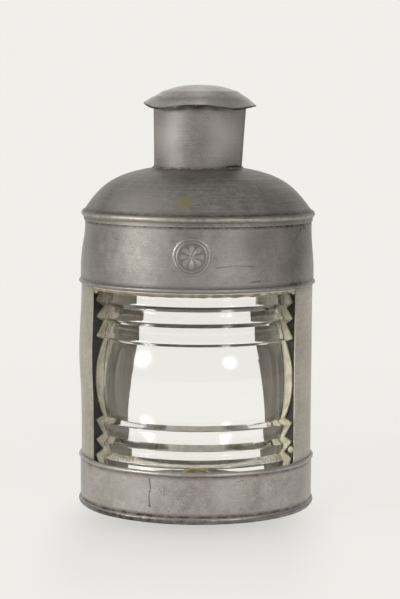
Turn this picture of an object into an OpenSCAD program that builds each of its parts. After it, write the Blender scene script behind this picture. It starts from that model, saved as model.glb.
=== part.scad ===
// Ship's oil lantern of tinned sheet with a stepped drum lens, a rear door and a lift-out lamp.
// The origin lies on the lantern's axis at the foot, +Z is up and the lens faces -Y.
// Sizes are in millimetres and angles in degrees.

/* [Body] */
// Outer radius of the middle shell
body_r = 95; // [91:0.5:102]
// Thickness of the sheet metal
sheet = 0.8; // [0.6:0.1:1]
// Height of the base band
base_h = 41.5; // [38:0.5:46]
// Clear height of the window between the two bands
window_h = 141; // [134:0.5:150]
// Height of the upper band
upper_band_h = 57; // [48:0.5:66]
// Height of the shell that laps inside each band
shell_lap = 15; // [13:0.5:18]
// Inward taper of the upper band towards the roof
band_taper = 1.6; // [0:0.1:3]
// Height of the swaged beads on the bands
bead_h = 3.8; // [3:0.1:6]
// Distance that the beads stand out
bead_out = 1.4; // [0.6:0.1:2.4]
// Height of the rolled foot
foot_h = 5.5; // [5:0.5:9]
// Distance that the rolled foot stands out
foot_out = 1.5; // [0.6:0.1:2.5]
// Height of the bottom plate above the floor
floor_gap = 3; // [2:0.5:6]
// Height of the bottom plate's flange
plate_flange_h = 5; // [3:0.5:7]
// Diameter of the air holes in the rear of the base band
air_hole_d = 5; // [3:0.5:7]
// Number of air holes
air_holes = 9; // [5:1:13]
// Angle between neighbouring air holes
air_hole_step = 10; // [7:0.5:12]
// Height of the air holes above the floor
air_hole_z = 14; // [12:0.5:17]

/* [Roof] */
// Height of the roof's skirt, lapped over the upper band
skirt_h = 5.5; // [4:0.5:8]
// Height of the rolled rim of the roof
rim_h = 5.4; // [3:0.1:6]
// Distance that the rolled rim stands out
rim_out = 1.6; // [0.6:0.1:2.5]
// Step inwards from the skirt to the foot of the dome
dome_step = 1.2; // [0:0.1:3]
// Rise of the dome from its rim to the chimney
dome_rise = 34.5; // [26:0.5:44]
// Share of the dome's narrowing that comes late, next to the chimney
dome_late = 0.35; // [0.2:0.01:0.5]
// How late that share comes
dome_power = 4.5; // [3:0.1:6]
// Outer radius of the chimney at its foot
chimney_r = 36; // [30:0.5:42]
// Outward flare of the chimney at its top
chimney_flare = 2; // [0:0.1:3]
// Height of the chimney above the dome
chimney_h = 51; // [40:1:64]
// Depth of the chimney's foot inside the dome
chimney_lap = 5; // [3:0.5:7]
// Radius of the cap's brim
cap_r = 46; // [44:0.5:52]
// Rise of the cap from brim to crown
cap_rise = 16; // [13:0.5:20]
// How late the cap's crown turns down towards the brim
cap_fullness = 2.5; // [2.1:0.1:3]
// Height of the brim's edge above the top of the chimney
brim_lift = 0.4; // [0:0.1:2]
// Width of the three straps that carry the cap
strap_w = 9; // [6:0.5:12]
// Length of a strap inside the chimney
strap_leg = 16; // [10:0.5:22]

/* [Lens] */
// Gap between the lens tips and the shell
lens_gap = 3.2; // [2:0.1:5]
// Depth of the steps in the lens
lens_step = 7; // [5:0.5:9]
// Thickness of the glass at the valleys
lens_core = 8; // [6:0.5:11]
// Inset of the lens ends from the tip radius
lens_end_inset = 5; // [3:0.5:6]
// Height of each ring's riser, from the belt outwards
ring_rises = [3, 4, 4.5];
// Height of each ring's sloping face, from the belt outwards
ring_faces = [12, 8.5, 10.5];
// Depth of the lens below the top of the base band
lens_bite = 7.5; // [5:0.5:10]
// Half of the angle that the lens spans
lens_half_angle = 60.5; // [54:0.5:68]
// Width of the shell's edge that laps over each lens end
window_lap = 5; // [3:0.5:8]
// Thickness of the putty at each lens end
putty_t = 2; // [1:0.1:3]
// Height of the putty fillet above and below the lens
putty_h = 3; // [2:0.1:4]
// Crack between the putty fillets and the putty at the ends
putty_joint = 0.2; // [0.1:0.1:0.5]
// Thickness of the seat strips and channels
seat_t = 1; // [0.8:0.1:1.4]
// Height of the lip behind the lens
seat_lip = 5; // [3:0.5:8]
// Height of the leg that is soldered to the shell
seat_leg = 5; // [3:0.5:6]

/* [Door] */
// Half of the angle of the rear doorway
doorway_half_angle = 41.5; // [37:0.5:44]
// Turn of the doorway from straight behind the lens
doorway_turn = 2.5; // [-4:0.5:4]
// Overlap of the door on the shell
door_lap = 5; // [4:0.5:8]
// Clearance between the door and the shell
door_gap = 0.4; // [0.3:0.1:0.8]
// Clearance of the door from the bands
door_clear = 1; // [0.5:0.1:2]
// Width of the folded hem round the door
hem_w = 5; // [4:0.5:8]
// Angle to which the door stands open
door_open = 94; // [90:1:120]
// Height of the door knob's centre as a part of the door's height
knob_height_ratio = 0.5; // [0.3:0.05:0.7]
// Radius of the door knob
knob_r = 6; // [4.5:0.5:8]
// Length of the door knob
knob_l = 11; // [8:0.5:14]
// Room for a finger between the door knob and the turned catch
knob_room = 4; // [2:0.5:8]

/* [Hinges and catch] */
// Height of a hinge
hinge_h = 27; // [21:0.5:33]
// Distance from the door's end to a hinge
hinge_inset = 15; // [10:0.5:20]
// Radius of the hinge knuckles
knuckle_r = 2.6; // [2.2:0.1:3.4]
// Gap between neighbouring knuckles
knuckle_gap = 0.3; // [0.2:0.05:0.5]
// Radius of the hinge pins
pin_r = 1.25; // [1:0.05:1.5]
// Radial clearance of pins, studs and shafts in their bores
pin_fit = 0.05; // [0.02:0.01:0.1]
// Width of a hinge leaf
leaf_w = 16; // [13:0.5:20]
// Thickness of a hinge leaf
leaf_t = 1; // [0.8:0.1:1.4]
// Inset of the leaf's ends from the ends of the knuckles
leaf_inset = 0.5; // [0.2:0.1:1]
// Radius of the rivet shanks
rivet_r = 1.2; // [1:0.1:1.6]
// Radius of the rivet heads
rivet_head_r = 2.3; // [2:0.1:3]
// Height of the rivet heads
rivet_head_h = 1; // [0.7:0.1:1.5]
// Distance of the catch's pivot from the door's edge
catch_offset = 13; // [10:0.5:16]
// Length of the turn catch beyond its pivot
catch_l = 22; // [18:0.5:26]
// Width of the turn catch
catch_w = 9; // [7:0.5:11]
// Thickness of the turn catch
catch_t = 1.2; // [1:0.1:2]
// Radius of the catch's pivot stud
stud_r = 1.6; // [1.2:0.1:2]
// Running clearance of the turn catch along its stud
catch_play = 0.2; // [0.1:0.05:0.4]

/* [Lamp] */
// Radius of the oil font
font_r = 50; // [44:0.5:54]
// Height of the oil font
font_h = 20; // [17:0.5:24]
// Height of the font's rounded shoulder
font_shoulder = 8; // [5:0.5:12]
// Height of the ring that holds the font in place
font_ring_h = 7; // [4:0.5:10]
// Clearance round and under the font
font_play = 0.3; // [0.2:0.1:0.8]
// Outer radius of the font's neck
neck_r = 13; // [11.5:0.5:15]
// Height of the font's neck
neck_h = 5; // [4:0.5:7]
// Thickness of the burner's brass
brass_t = 0.8; // [0.6:0.1:1]
// Width of the knurled rim of the burner collar
collar_rim = 2.6; // [2:0.1:4]
// Height of the burner's gallery
gallery_h = 9; // [9:0.5:11]
// Height of the burner's cone
cone_h = 9; // [7:0.5:12]
// Width of the flat wick
wick_w = 16; // [12:0.5:18]
// Thickness of the wick
wick_t = 3; // [2:0.1:3.4]
// Clearance of the wick in its tube and at the spurs
wick_fit = 0.3; // [0.2:0.05:0.5]
// Height of the wick above its tube
wick_show = 2.5; // [1:0.5:5]
// Radius of the spur wheels at the tooth tips
spur_r = 4; // [3.5:0.1:4.4]
// Depth of the spur teeth
spur_depth = 1; // [0.6:0.1:1.2]
// Number of spur teeth
spur_teeth = 10; // [8:1:14]
// Radius of the wick shaft
shaft_r = 1.1; // [0.9:0.05:1.4]
// Reach of the wick shaft from the burner's axis to its knob
shaft_reach = 30; // [24:0.5:40]
// Radius of the wick knob
wick_knob_r = 7; // [5:0.5:9]
// Thickness of the wick knob
wick_knob_t = 4; // [3:0.5:6]

/* [Hidden] */

$fn = 96;
small_fn = 32;
bead_steps = 8;
curve_steps = 16;
front = 270;
rear = 90;
// Length by which cutting bodies reach past what they cut
cut = 1;

function deg(arc, r) = arc / r * 180 / PI;
function sum(v, n) = n == 0 ? 0 : v[n - 1] + sum(v, n - 1);

// Heights of the body
shell_r = body_r - sheet;
band_r = body_r + sheet;
z_upper = base_h + window_h;
z_roof = z_upper + upper_band_h;
shell_z0 = base_h - shell_lap;
shell_z1 = z_upper + shell_lap;
plate_z = floor_gap + sheet;

// Roof
skirt_r = band_r - band_taper + sheet;
rim_z = z_roof + rim_h / 2;
dome_foot_r = skirt_r - dome_step;
dome_top = rim_z + dome_rise;
// Fall of the squared radius from the dome's foot to the chimney
dome_fall = pow(dome_foot_r, 2) - pow(chimney_r, 2);
chimney_top = dome_top + chimney_h;
chimney_top_r = chimney_r + chimney_flare;
brim_z = chimney_top + brim_lift;
function dome_share(t) = (1 - dome_late) * t + dome_late * pow(t, dome_power);
function dome_steepness(t) = 1 - dome_late + dome_late * dome_power * pow(t, dome_power - 1);
function cap_z_at(r) = brim_z + cap_rise * (1 - pow(r / cap_r, cap_fullness));

// Lens
lens_top = z_upper - seat_t;
lens_bottom = base_h - lens_bite;
lens_h = lens_top - lens_bottom;
lens_z = (lens_top + lens_bottom) / 2;
lens_tip_r = shell_r - lens_gap;
lens_valley_r = lens_tip_r - lens_step;
lens_bore_r = lens_valley_r - lens_core;
lens_end_r = lens_tip_r - lens_end_inset;
belt_half = lens_h / 2 - sum(ring_rises, len(ring_rises)) - sum(ring_faces, len(ring_faces));
belt_curve_r = (pow(belt_half, 2) + pow(lens_step, 2)) / (2 * lens_step);
window_half_angle = lens_half_angle - deg(window_lap, body_r);
putty_angle = deg(putty_t, lens_tip_r);
putty_joint_angle = deg(putty_joint, lens_tip_r);
channel_angle = deg(seat_t, lens_tip_r);
seat_half_angle = lens_half_angle + putty_angle + channel_angle;

// Door, hinges and catch. The hinge stands on the +X side of the doorway.
door_z0 = base_h + door_clear;
door_z1 = z_upper - door_clear;
door_h = door_z1 - door_z0;
door_in_r = body_r + door_gap;
door_out_r = door_in_r + sheet;
hem_out_r = door_out_r + sheet;
lap_angle = deg(door_lap, body_r);
hinge_r = body_r + door_gap + knuckle_r;
door_mid = rear + doorway_turn;
hinge_angle = door_mid - doorway_half_angle - lap_angle;
hinge_xy = [hinge_r * cos(hinge_angle), hinge_r * sin(hinge_angle)];
knuckle_room_r = knuckle_r + 2 * door_gap;
knuckle_clear_angle = deg(knuckle_room_r, body_r);
leaf_angle = deg(leaf_w, body_r);
leaf_root_angle = deg(knuckle_r / 4, body_r);
door_a0 = hinge_angle + knuckle_clear_angle;
door_a1 = door_mid + doorway_half_angle + lap_angle;
knuckle_h = (hinge_h - 2 * knuckle_gap) / 3;
hinge_z = [door_z0 + hinge_inset, door_z1 - hinge_inset - hinge_h];
bore_r = pin_r + pin_fit;
leaf_out_r = door_out_r + leaf_t;
rivet_angle = deg(leaf_w * 0.68, body_r);
rivet_rows = [0.25, 0.75];
rivet_seat = 0.05;
catch_angle = door_a1 + deg(catch_offset, body_r);
catch_z = (door_z0 + door_z1) / 2;
catch_in_r = hem_out_r + door_gap + catch_play;
stud_step_r = catch_in_r - catch_play;
stud_head_r = catch_in_r + catch_t + catch_play;
knob_angle = catch_angle - deg(catch_l + knob_room + knob_r, body_r);
knob_z = door_z0 + door_h * knob_height_ratio;

// Lamp
font_z0 = plate_z + font_play;
font_top = font_z0 + font_h;
neck_top = font_top + neck_h;
collar_r = neck_r + collar_rim;
collar_top = neck_top + brass_t;
gallery_r = neck_r + brass_t;
gallery_top = collar_top + gallery_h;
cone_top = gallery_top + cone_h;
tube_in = [wick_w + 2 * wick_fit, wick_t + 2 * wick_fit];
tube_out = [tube_in[0] + 2 * brass_t, tube_in[1] + 2 * brass_t];
tube_top = cone_top - brass_t / 2;
shaft_z = collar_top + gallery_h / 2;
shaft_y = wick_t / 2 + wick_fit + spur_r;
spur_t = 1.6;
spur_x = wick_w * 0.28;

// Points of a rounded bead that stands out from radius r
function bead(r, z, h, out) =
    [for (i = [0:bead_steps]) [r + out * sin(180 * i / bead_steps), z + h * i / bead_steps]];

// Point of the dome at a share t of its rise, moved inwards along the surface normal by depth
function dome_point(t, depth) =
    let (
        r = sqrt(pow(dome_foot_r, 2) - dome_fall * dome_share(t)),
        n = [r, dome_fall / (2 * dome_rise) * dome_steepness(t)]
    )
    [r, rim_z + dome_rise * t] - depth * n / norm(n);

// Heights and radii of one half of the lens outline, from the middle of the belt outwards
function ring_start(i) = belt_half + sum(ring_rises, i) + sum(ring_faces, i);
function belt_points() = [
    for (i = [0:curve_steps])
        let (h = belt_half * i / curve_steps)
        [lens_tip_r - belt_curve_r + sqrt(pow(belt_curve_r, 2) - h * h), h]
];
function ring_points() = [
    for (i = [0:len(ring_rises) - 1]) each [
        [lens_tip_r, ring_start(i) + ring_rises[i]],
        [i == len(ring_rises) - 1 ? lens_end_r : lens_valley_r, ring_start(i + 1)]
    ]
];
function lens_outline() =
    let (half = concat(belt_points(), ring_points()), last = len(half) - 1)
    concat(
        [for (i = [last:-1:1]) [half[i][0], -half[i][1]]],
        half,
        [[lens_bore_r, lens_h / 2], [lens_bore_r, -lens_h / 2]]
    );

module ring(r0, r1, z0, z1) {
    rotate_extrude()
        translate([r0, z0])
            square([r1 - r0, z1 - z0]);
}

module sector(r0, r1, z0, z1, a0, a1) {
    rotate([0, 0, a0])
        rotate_extrude(angle = a1 - a0)
            translate([r0, z0])
                square([r1 - r0, z1 - z0]);
}

module turned_sector(outline, a0, a1) {
    rotate([0, 0, a0])
        rotate_extrude(angle = a1 - a0)
            polygon(outline);
}

// Places children with their +Z along the outward radius at polar angle a
module on_radius(r, a, z) {
    rotate([0, 0, a])
        translate([r, 0, z])
            rotate([0, 90, 0])
                children();
}

module tube(r0, r1, h) {
    difference() {
        cylinder(r = r1, h = h);
        translate([0, 0, -cut])
            cylinder(r = r0, h = h + 2 * cut);
    }
}

// Swings children from the closed door's place to its open rest
module door_swing() {
    translate(hinge_xy)
        rotate([0, 0, -door_open])
            translate(-hinge_xy)
                children();
}

// Pan that closes the base, with its flange soldered inside the band
module bottom_plate() {
    color("#8d8983")
        rotate_extrude()
            polygon([
                [0, floor_gap], [body_r, floor_gap], [body_r, plate_z + plate_flange_h],
                [shell_r, plate_z + plate_flange_h], [shell_r, plate_z], [0, plate_z]
            ]);
}

module base_band() {
    color("#97928b")
        difference() {
            rotate_extrude()
                polygon(concat(
                    [[body_r, 0]],
                    bead(band_r, 0, foot_h, foot_out),
                    bead(band_r, base_h - bead_h, bead_h, bead_out),
                    [[body_r, base_h]]
                ));
            for (i = [0:air_holes - 1])
                on_radius(shell_r, rear + (i - (air_holes - 1) / 2) * air_hole_step, air_hole_z)
                    cylinder(d = air_hole_d, h = 2 * sheet + cut, $fn = small_fn);
        }
}

// Middle shell, cut through by the window in front and the doorway behind
module body_shell() {
    color("#8f8a84")
        difference() {
            ring(shell_r, body_r, shell_z0, shell_z1);
            sector(
                shell_r - cut, body_r + cut, lens_bottom, z_upper,
                front - window_half_angle, front + window_half_angle
            );
            sector(
                shell_r - cut, body_r + cut, door_z0 + door_lap, door_z1 - door_lap,
                door_mid - doorway_half_angle, door_mid + doorway_half_angle
            );
            body_rivet_holes();
            on_radius(shell_r - cut, catch_angle, catch_z)
                cylinder(r = stud_r + pin_fit, h = sheet + 2 * cut, $fn = small_fn);
        }
}

module upper_band() {
    color("#86817c")
        rotate_extrude()
            polygon(concat(
                [[body_r, z_upper]],
                bead(band_r, z_upper, bead_h, bead_out),
                [
                    [band_r, shell_z1], [band_r - band_taper, z_roof - skirt_h], [band_r - band_taper, z_roof],
                    [body_r - band_taper, z_roof], [body_r - band_taper, z_roof - skirt_h], [body_r, shell_z1]
                ]
            ));
}

// Domed roof with its skirt and rolled rim, open in the middle for the chimney
module dome() {
    shares = [for (i = [0:curve_steps]) 1 - pow(1 - i / curve_steps, 2)];
    color("#69665f")
        difference() {
            rotate_extrude()
                polygon(concat(
                    [[skirt_r - sheet, z_roof - skirt_h], [skirt_r, z_roof - skirt_h]],
                    bead(skirt_r, rim_z - rim_h, rim_h, rim_out),
                    [for (t = shares) dome_point(t, 0)],
                    [for (i = [curve_steps:-1:0]) dome_point(shares[i], sheet)],
                    [[skirt_r - sheet - dome_step, z_roof], [skirt_r - sheet, z_roof]]
                ));
            translate([0, 0, dome_top - dome_rise])
                cylinder(r = chimney_r, h = 2 * dome_rise);
        }
}

module chimney() {
    color("#8b8682")
        rotate_extrude()
            polygon([
                [chimney_r - sheet, dome_top - chimney_lap], [chimney_r, dome_top - chimney_lap],
                [chimney_r, dome_top], [chimney_top_r, chimney_top],
                [chimney_top_r - sheet, chimney_top], [chimney_r - sheet, dome_top]
            ]);
}

module chimney_cap() {
    radii = [for (i = [0:curve_steps]) cap_r * i / curve_steps];
    color("#8a8781")
        rotate_extrude()
            polygon(concat(
                [for (r = radii) [r, cap_z_at(r)]],
                [for (i = [curve_steps:-1:0]) [radii[i], cap_z_at(radii[i]) - sheet]]
            ));
}

// Three straps from the inside of the chimney up to the cap
module cap_straps() {
    strap_foot = chimney_top - strap_leg;
    strap_r = chimney_r - sheet + chimney_flare * (chimney_h - strap_leg) / chimney_h;
    half = deg(strap_w, strap_r) / 2;
    color("#77736d")
        for (a = [rear, rear + 120, rear + 240])
            sector(strap_r - sheet, strap_r, strap_foot, cap_z_at(strap_r) - sheet, a - half, a + half);
}

module lens() {
    color("#dfe6e2", 0.5)
        translate([0, 0, lens_z])
            turned_sector(lens_outline(), front - lens_half_angle, front + lens_half_angle);
}

// Curved angle strip against one end of the lens: up is 1 for the top end and -1 for the bottom end
module lens_seat(z, up) {
    lip_r = lens_bore_r - seat_t;
    color("#807b75")
        turned_sector(
            [
                [lip_r, z - up * seat_lip], [lens_bore_r, z - up * seat_lip], [lens_bore_r, z], [shell_r, z],
                [shell_r, z + up * (seat_t + seat_leg)], [shell_r - seat_t, z + up * (seat_t + seat_leg)],
                [shell_r - seat_t, z + up * seat_t], [lip_r, z + up * seat_t]
            ],
            front - seat_half_angle, front + seat_half_angle
        );
}

module upper_lens_seat() {
    lens_seat(lens_top, 1);
}

module lower_lens_seat() {
    lens_seat(lens_bottom, -1);
}

// Upright channels at the two ends of the lens
module lens_channels() {
    lip_angle = deg(window_lap, lens_bore_r);
    color("#807b75")
        for (side = [-1, 1])
            mirror([side < 0 ? 1 : 0, 0, 0]) {
                sector(
                    lens_bore_r, shell_r, lens_bottom, lens_top,
                    front + seat_half_angle - channel_angle, front + seat_half_angle
                );
                sector(
                    lens_bore_r - seat_t, lens_bore_r, lens_bottom + seat_lip, lens_top - seat_lip,
                    front + lens_half_angle - lip_angle, front + seat_half_angle
                );
            }
}

// Putty: a fillet in front of each lens end ring, and a bed of the lens's own outline at each side
module lens_putty() {
    face_slope = (lens_tip_r - lens_end_r) / ring_faces[len(ring_faces) - 1];
    color("#d6cbb0") {
        for (up = [-1, 1])
            let (z = up > 0 ? lens_top : lens_bottom)
                turned_sector(
                    [
                        [lens_end_r, z], [shell_r, z], [shell_r, z - up * putty_h / 2],
                        [lens_end_r + face_slope * putty_h, z - up * putty_h]
                    ],
                    front - lens_half_angle + putty_joint_angle, front + lens_half_angle - putty_joint_angle
                );
        for (side = [-1, 1])
            mirror([side < 0 ? 1 : 0, 0, 0])
                translate([0, 0, lens_z])
                    turned_sector(
                        lens_outline(), front + lens_half_angle, front + lens_half_angle + putty_angle
                    );
    }
}

module font_ring() {
    color("#7f7b75")
        ring(font_r + font_play, font_r + font_play + sheet, plate_z, plate_z + font_ring_h);
}

// Middles of one hinge's rivets on the side given: -1 on the shell and 1 on the door
module at_rivets(r, side) {
    for (z = hinge_z, row = rivet_rows)
        on_radius(r, hinge_angle + side * rivet_angle, z + hinge_h * row)
            children();
}

module body_rivet_holes() {
    at_rivets(shell_r - cut, -1)
        cylinder(r = rivet_r + pin_fit, h = sheet + leaf_t + 2 * cut, $fn = small_fn);
}

module door_rivet_holes() {
    at_rivets(body_r, 1)
        cylinder(r = rivet_r + pin_fit, h = door_gap + sheet + leaf_t + 2 * cut, $fn = small_fn);
}

// Rivet whose shank runs from its root through a thickness to a rounded head
module rivet(thickness) {
    $fn = small_fn;
    cylinder(r = rivet_r, h = thickness + rivet_seat);
    translate([0, 0, thickness + rivet_seat])
        intersection() {
            cylinder(r = rivet_head_r, h = rivet_head_h);
            translate([0, 0, rivet_head_h - rivet_head_r * 1.4])
                sphere(r = rivet_head_r * 1.4);
        }
}

// Children at the foot of knuckle i of every hinge
module at_knuckles(i) {
    for (z = hinge_z)
        translate([hinge_xy[0], hinge_xy[1], z + i * (knuckle_h + knuckle_gap)])
            children();
}

module hinge_bores() {
    for (z = hinge_z)
        translate([hinge_xy[0], hinge_xy[1], z - cut])
            cylinder(r = bore_r, h = hinge_h + 2 * cut, $fn = small_fn);
}

// Leaves from radius r0 outwards with their own knuckles and room for the others:
// side is -1 on the shell and 1 on the door
module hinge_leaves(r0, side, own, others) {
    near = hinge_angle + side * leaf_root_angle;
    far = hinge_angle + side * leaf_angle;
    $fn = small_fn;
    difference() {
        for (z = hinge_z)
            sector(
                r0, r0 + leaf_t, z + leaf_inset, z + hinge_h - leaf_inset, min(near, far), max(near, far)
            );
        for (i = others)
            at_knuckles(i)
                translate([0, 0, -knuckle_gap / 2])
                    cylinder(r = knuckle_room_r, h = knuckle_h + knuckle_gap);
    }
    for (i = own)
        at_knuckles(i)
            cylinder(r = knuckle_r, h = knuckle_h);
}

module body_hinge_leaves() {
    color("#6e6a63")
        difference() {
            hinge_leaves(body_r, -1, [0, 2], [1]);
            hinge_bores();
            body_rivet_holes();
        }
}

module body_leaf_rivets() {
    color("#5f5b55")
        at_rivets(shell_r, -1)
            rivet(sheet + leaf_t);
}

// Pins with a flat head that rests on the upper knuckle
module hinge_pins() {
    $fn = small_fn;
    color("#55524d")
        for (z = hinge_z)
            translate([hinge_xy[0], hinge_xy[1], z]) {
                cylinder(r = pin_r, h = hinge_h);
                translate([0, 0, hinge_h])
                    cylinder(r = knuckle_r * 0.8, h = leaf_t);
            }
}

// Shouldered stud riveted through the shell beside the doorway
module catch_stud() {
    tail = 0.8;
    tail_r = stud_r * 1.6;
    flange_r = stud_r * 2;
    foot_r = shell_r - tail;
    color("#5f5b55")
        on_radius(foot_r, catch_angle, catch_z)
            rotate_extrude($fn = small_fn)
                polygon([
                    [0, 0], [tail_r, 0], [tail_r, tail - rivet_seat], [stud_r, tail - rivet_seat],
                    [stud_r, body_r - foot_r], [flange_r, body_r - foot_r], [flange_r, stud_step_r - foot_r],
                    [stud_r, stud_step_r - foot_r], [stud_r, stud_head_r - foot_r],
                    [flange_r, stud_head_r - foot_r], [flange_r, stud_head_r + leaf_t - foot_r],
                    [0, stud_head_r + leaf_t - foot_r]
                ]);
}

// Turn catch hanging from its stud, with a thumb tab at the end
module turn_catch() {
    tail_l = catch_w * 0.7;
    tab_h = 6;
    $fn = small_fn;
    color("#7d7871")
        on_radius(catch_in_r, catch_angle, catch_z)
            difference() {
                union() {
                    cylinder(d = catch_w, h = catch_t);
                    translate([-tail_l, -catch_w / 4, 0])
                        cube([tail_l, catch_w / 2, catch_t]);
                    translate([0, -catch_w / 2, 0])
                        cube([catch_l - catch_w / 2, catch_w, catch_t]);
                    translate([catch_l - catch_w / 2, 0, 0])
                        cylinder(d = catch_w, h = catch_t);
                    translate([-tail_l, -catch_w / 4, 0])
                        cube([catch_t, catch_w / 2, tab_h]);
                }
                translate([0, 0, -cut])
                    cylinder(r = stud_r + pin_fit, h = catch_t + 2 * cut);
            }
}

// Curved rear door with a folded hem along its top, bottom and free edge
module door_panel() {
    hem_angle = deg(hem_w, body_r);
    color("#87827c")
        door_swing()
            difference() {
                sector(door_in_r, hem_out_r, door_z0, door_z1, door_a0, door_a1);
                sector(
                    door_out_r, hem_out_r + cut, door_z0 + hem_w, door_z1 - hem_w,
                    door_a0 - hem_angle, door_a1 - hem_angle
                );
                door_rivet_holes();
                on_radius(body_r, knob_angle, knob_z)
                    cylinder(r = rivet_r + pin_fit, h = door_gap + sheet + cut, $fn = small_fn);
            }
}

module door_hinge_leaves() {
    color("#6e6a63")
        door_swing()
            difference() {
                hinge_leaves(door_out_r, 1, [1], [0, 2]);
                hinge_bores();
                door_rivet_holes();
            }
}

module door_leaf_rivets() {
    color("#5f5b55")
        door_swing()
            at_rivets(door_in_r, 1)
                rivet(sheet + leaf_t);
}

// Turned knob riveted through the door
module door_knob() {
    color("#8a7b52")
        door_swing()
            on_radius(door_in_r, knob_angle, knob_z)
                rotate_extrude($fn = small_fn)
                    polygon(concat(
                        [[0, 0], [rivet_r, 0], [rivet_r, sheet + rivet_seat], [knob_r / 2, sheet + rivet_seat],
                         [knob_r / 2.5, knob_l / 2]],
                        [for (i = [0:bead_steps])
                            [knob_r * cos(90 * i / bead_steps), knob_l / 2 + knob_l / 2 * sin(90 * i / bead_steps)]]
                    ));
}

// Hollow drum for the oil, with a rounded shoulder and a neck
module oil_font() {
    shoulder_z = font_top - font_shoulder;
    color("#98948b")
        rotate_extrude()
            polygon(concat(
                [[0, font_z0], [font_r, font_z0]],
                [for (i = [0:bead_steps])
                    let (t = 90 * i / bead_steps)
                    [neck_r + (font_r - neck_r) * cos(t), shoulder_z + font_shoulder * sin(t)]],
                [[neck_r, neck_top], [neck_r - sheet, neck_top]],
                [for (i = [bead_steps:-1:0])
                    let (t = 90 * i / bead_steps)
                    [neck_r - sheet + (font_r - neck_r) * cos(t), shoulder_z + (font_shoulder - sheet) * sin(t)]],
                [[font_r - sheet, font_z0 + sheet], [0, font_z0 + sheet]]
            ));
}

// Collar that screws on the neck, with a slot for the wick tube in its top
module burner_collar() {
    color("#a08a55")
        difference() {
            rotate_extrude()
                polygon([
                    [neck_r + pin_fit, font_top + font_play], [collar_r, font_top + font_play],
                    [collar_r, collar_top], [0, collar_top], [0, neck_top], [neck_r + pin_fit, neck_top]
                ]);
            translate([-tube_out[0] / 2, -tube_out[1] / 2, neck_top - cut])
                cube([tube_out[0], tube_out[1], brass_t + 2 * cut]);
        }
}

// Pierced gallery that carries the cone and the wick shaft
module burner_gallery() {
    hole_r = 1.3;
    holes = 12;
    color("#a08a55")
        difference() {
            ring(gallery_r - brass_t, gallery_r, collar_top, gallery_top);
            for (i = [0:holes - 1])
                on_radius(gallery_r - 2 * brass_t, rear + (i + 0.5) * 360 / holes, gallery_top - 2 * hole_r)
                    cylinder(r = hole_r, h = 3 * brass_t, $fn = small_fn);
            translate([-gallery_r - cut, shaft_y, shaft_z])
                rotate([0, 90, 0])
                    cylinder(r = shaft_r + pin_fit, h = 2 * gallery_r + 2 * cut, $fn = small_fn);
        }
}

// Domed cone with a slot over the wick
module burner_cone() {
    slot = [tube_out[0] + 1, tube_out[1] + 2.5];
    crown_r = gallery_r * 0.82;
    color("#a89059")
        difference() {
            rotate_extrude()
                polygon(concat(
                    [[gallery_r - brass_t, gallery_top], [gallery_r, gallery_top]],
                    [for (i = [0:bead_steps])
                        let (t = 90 * i / bead_steps)
                        [crown_r * cos(t) + (gallery_r - crown_r) * (1 - sin(t)) * cos(t), gallery_top + cone_h * sin(t)]],
                    [for (i = [bead_steps:-1:0])
                        let (t = 90 * i / bead_steps)
                        [(crown_r - brass_t) * cos(t) + (gallery_r - crown_r) * (1 - sin(t)) * cos(t),
                         gallery_top + (cone_h - brass_t) * sin(t)]]
                ));
            translate([-slot[0] / 2, -slot[1] / 2, gallery_top])
                cube([slot[0], slot[1], cone_h + cut]);
        }
}

// Flat tube round the wick, open at the back where the spur wheels reach in
module wick_tube() {
    spur_room = spur_r + 2 * wick_fit;
    color("#95804c")
        difference() {
            translate([0, 0, font_top])
                linear_extrude(tube_top - font_top)
                    difference() {
                        square(tube_out, center = true);
                        square(tube_in, center = true);
                    }
            translate([-spur_x - spur_t, tube_in[1] / 2 - wick_fit, shaft_z - spur_room])
                cube([2 * (spur_x + spur_t), tube_out[1], 2 * spur_room]);
        }
}

module wick_shaft() {
    color("#8d7a49")
        translate([-gallery_r - brass_t, shaft_y, shaft_z])
            rotate([0, 90, 0])
                cylinder(r = shaft_r, h = gallery_r + brass_t + shaft_reach, $fn = small_fn);
}

// Two toothed wheels that drive the wick
module spur_wheels() {
    points = [
        for (i = [0:2 * spur_teeth - 1])
            let (r = i % 2 == 0 ? spur_r : spur_r - spur_depth, a = i * 180 / spur_teeth)
            [r * cos(a), r * sin(a)]
    ];
    color("#8d7a49")
        for (x = [-spur_x, spur_x])
            translate([x - spur_t / 2, shaft_y, shaft_z])
                rotate([0, 90, 0])
                    linear_extrude(spur_t)
                        difference() {
                            polygon(points);
                            circle(r = shaft_r, $fn = small_fn);
                        }
}

// Milled knob at the end of the shaft
module wick_knob() {
    notches = 20;
    notch_r = 0.6;
    color("#a08a55")
        translate([shaft_reach - wick_knob_t, shaft_y, shaft_z])
            rotate([0, 90, 0])
                difference() {
                    tube(shaft_r, wick_knob_r, wick_knob_t, $fn = small_fn);
                    for (i = [0:notches - 1])
                        rotate([0, 0, i * 360 / notches])
                            translate([wick_knob_r, 0, -cut])
                                cylinder(r = notch_r, h = wick_knob_t + 2 * cut, $fn = 16);
                }
}

module wick() {
    wick_foot = font_z0 + font_shoulder;
    color("#d8d0bd")
        translate([-wick_w / 2, -wick_t / 2, wick_foot])
            cube([wick_w, wick_t, tube_top + wick_show - wick_foot]);
}

bottom_plate();
base_band();
body_shell();
upper_band();
dome();
chimney();
chimney_cap();
cap_straps();
lens();
upper_lens_seat();
lower_lens_seat();
lens_channels();
lens_putty();
font_ring();
body_hinge_leaves();
body_leaf_rivets();
hinge_pins();
catch_stud();
turn_catch();
door_panel();
door_hinge_leaves();
door_leaf_rivets();
door_knob();
oil_font();
burner_collar();
burner_gallery();
burner_cone();
wick_tube();
wick_shaft();
spur_wheels();
wick_knob();
wick();
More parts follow.
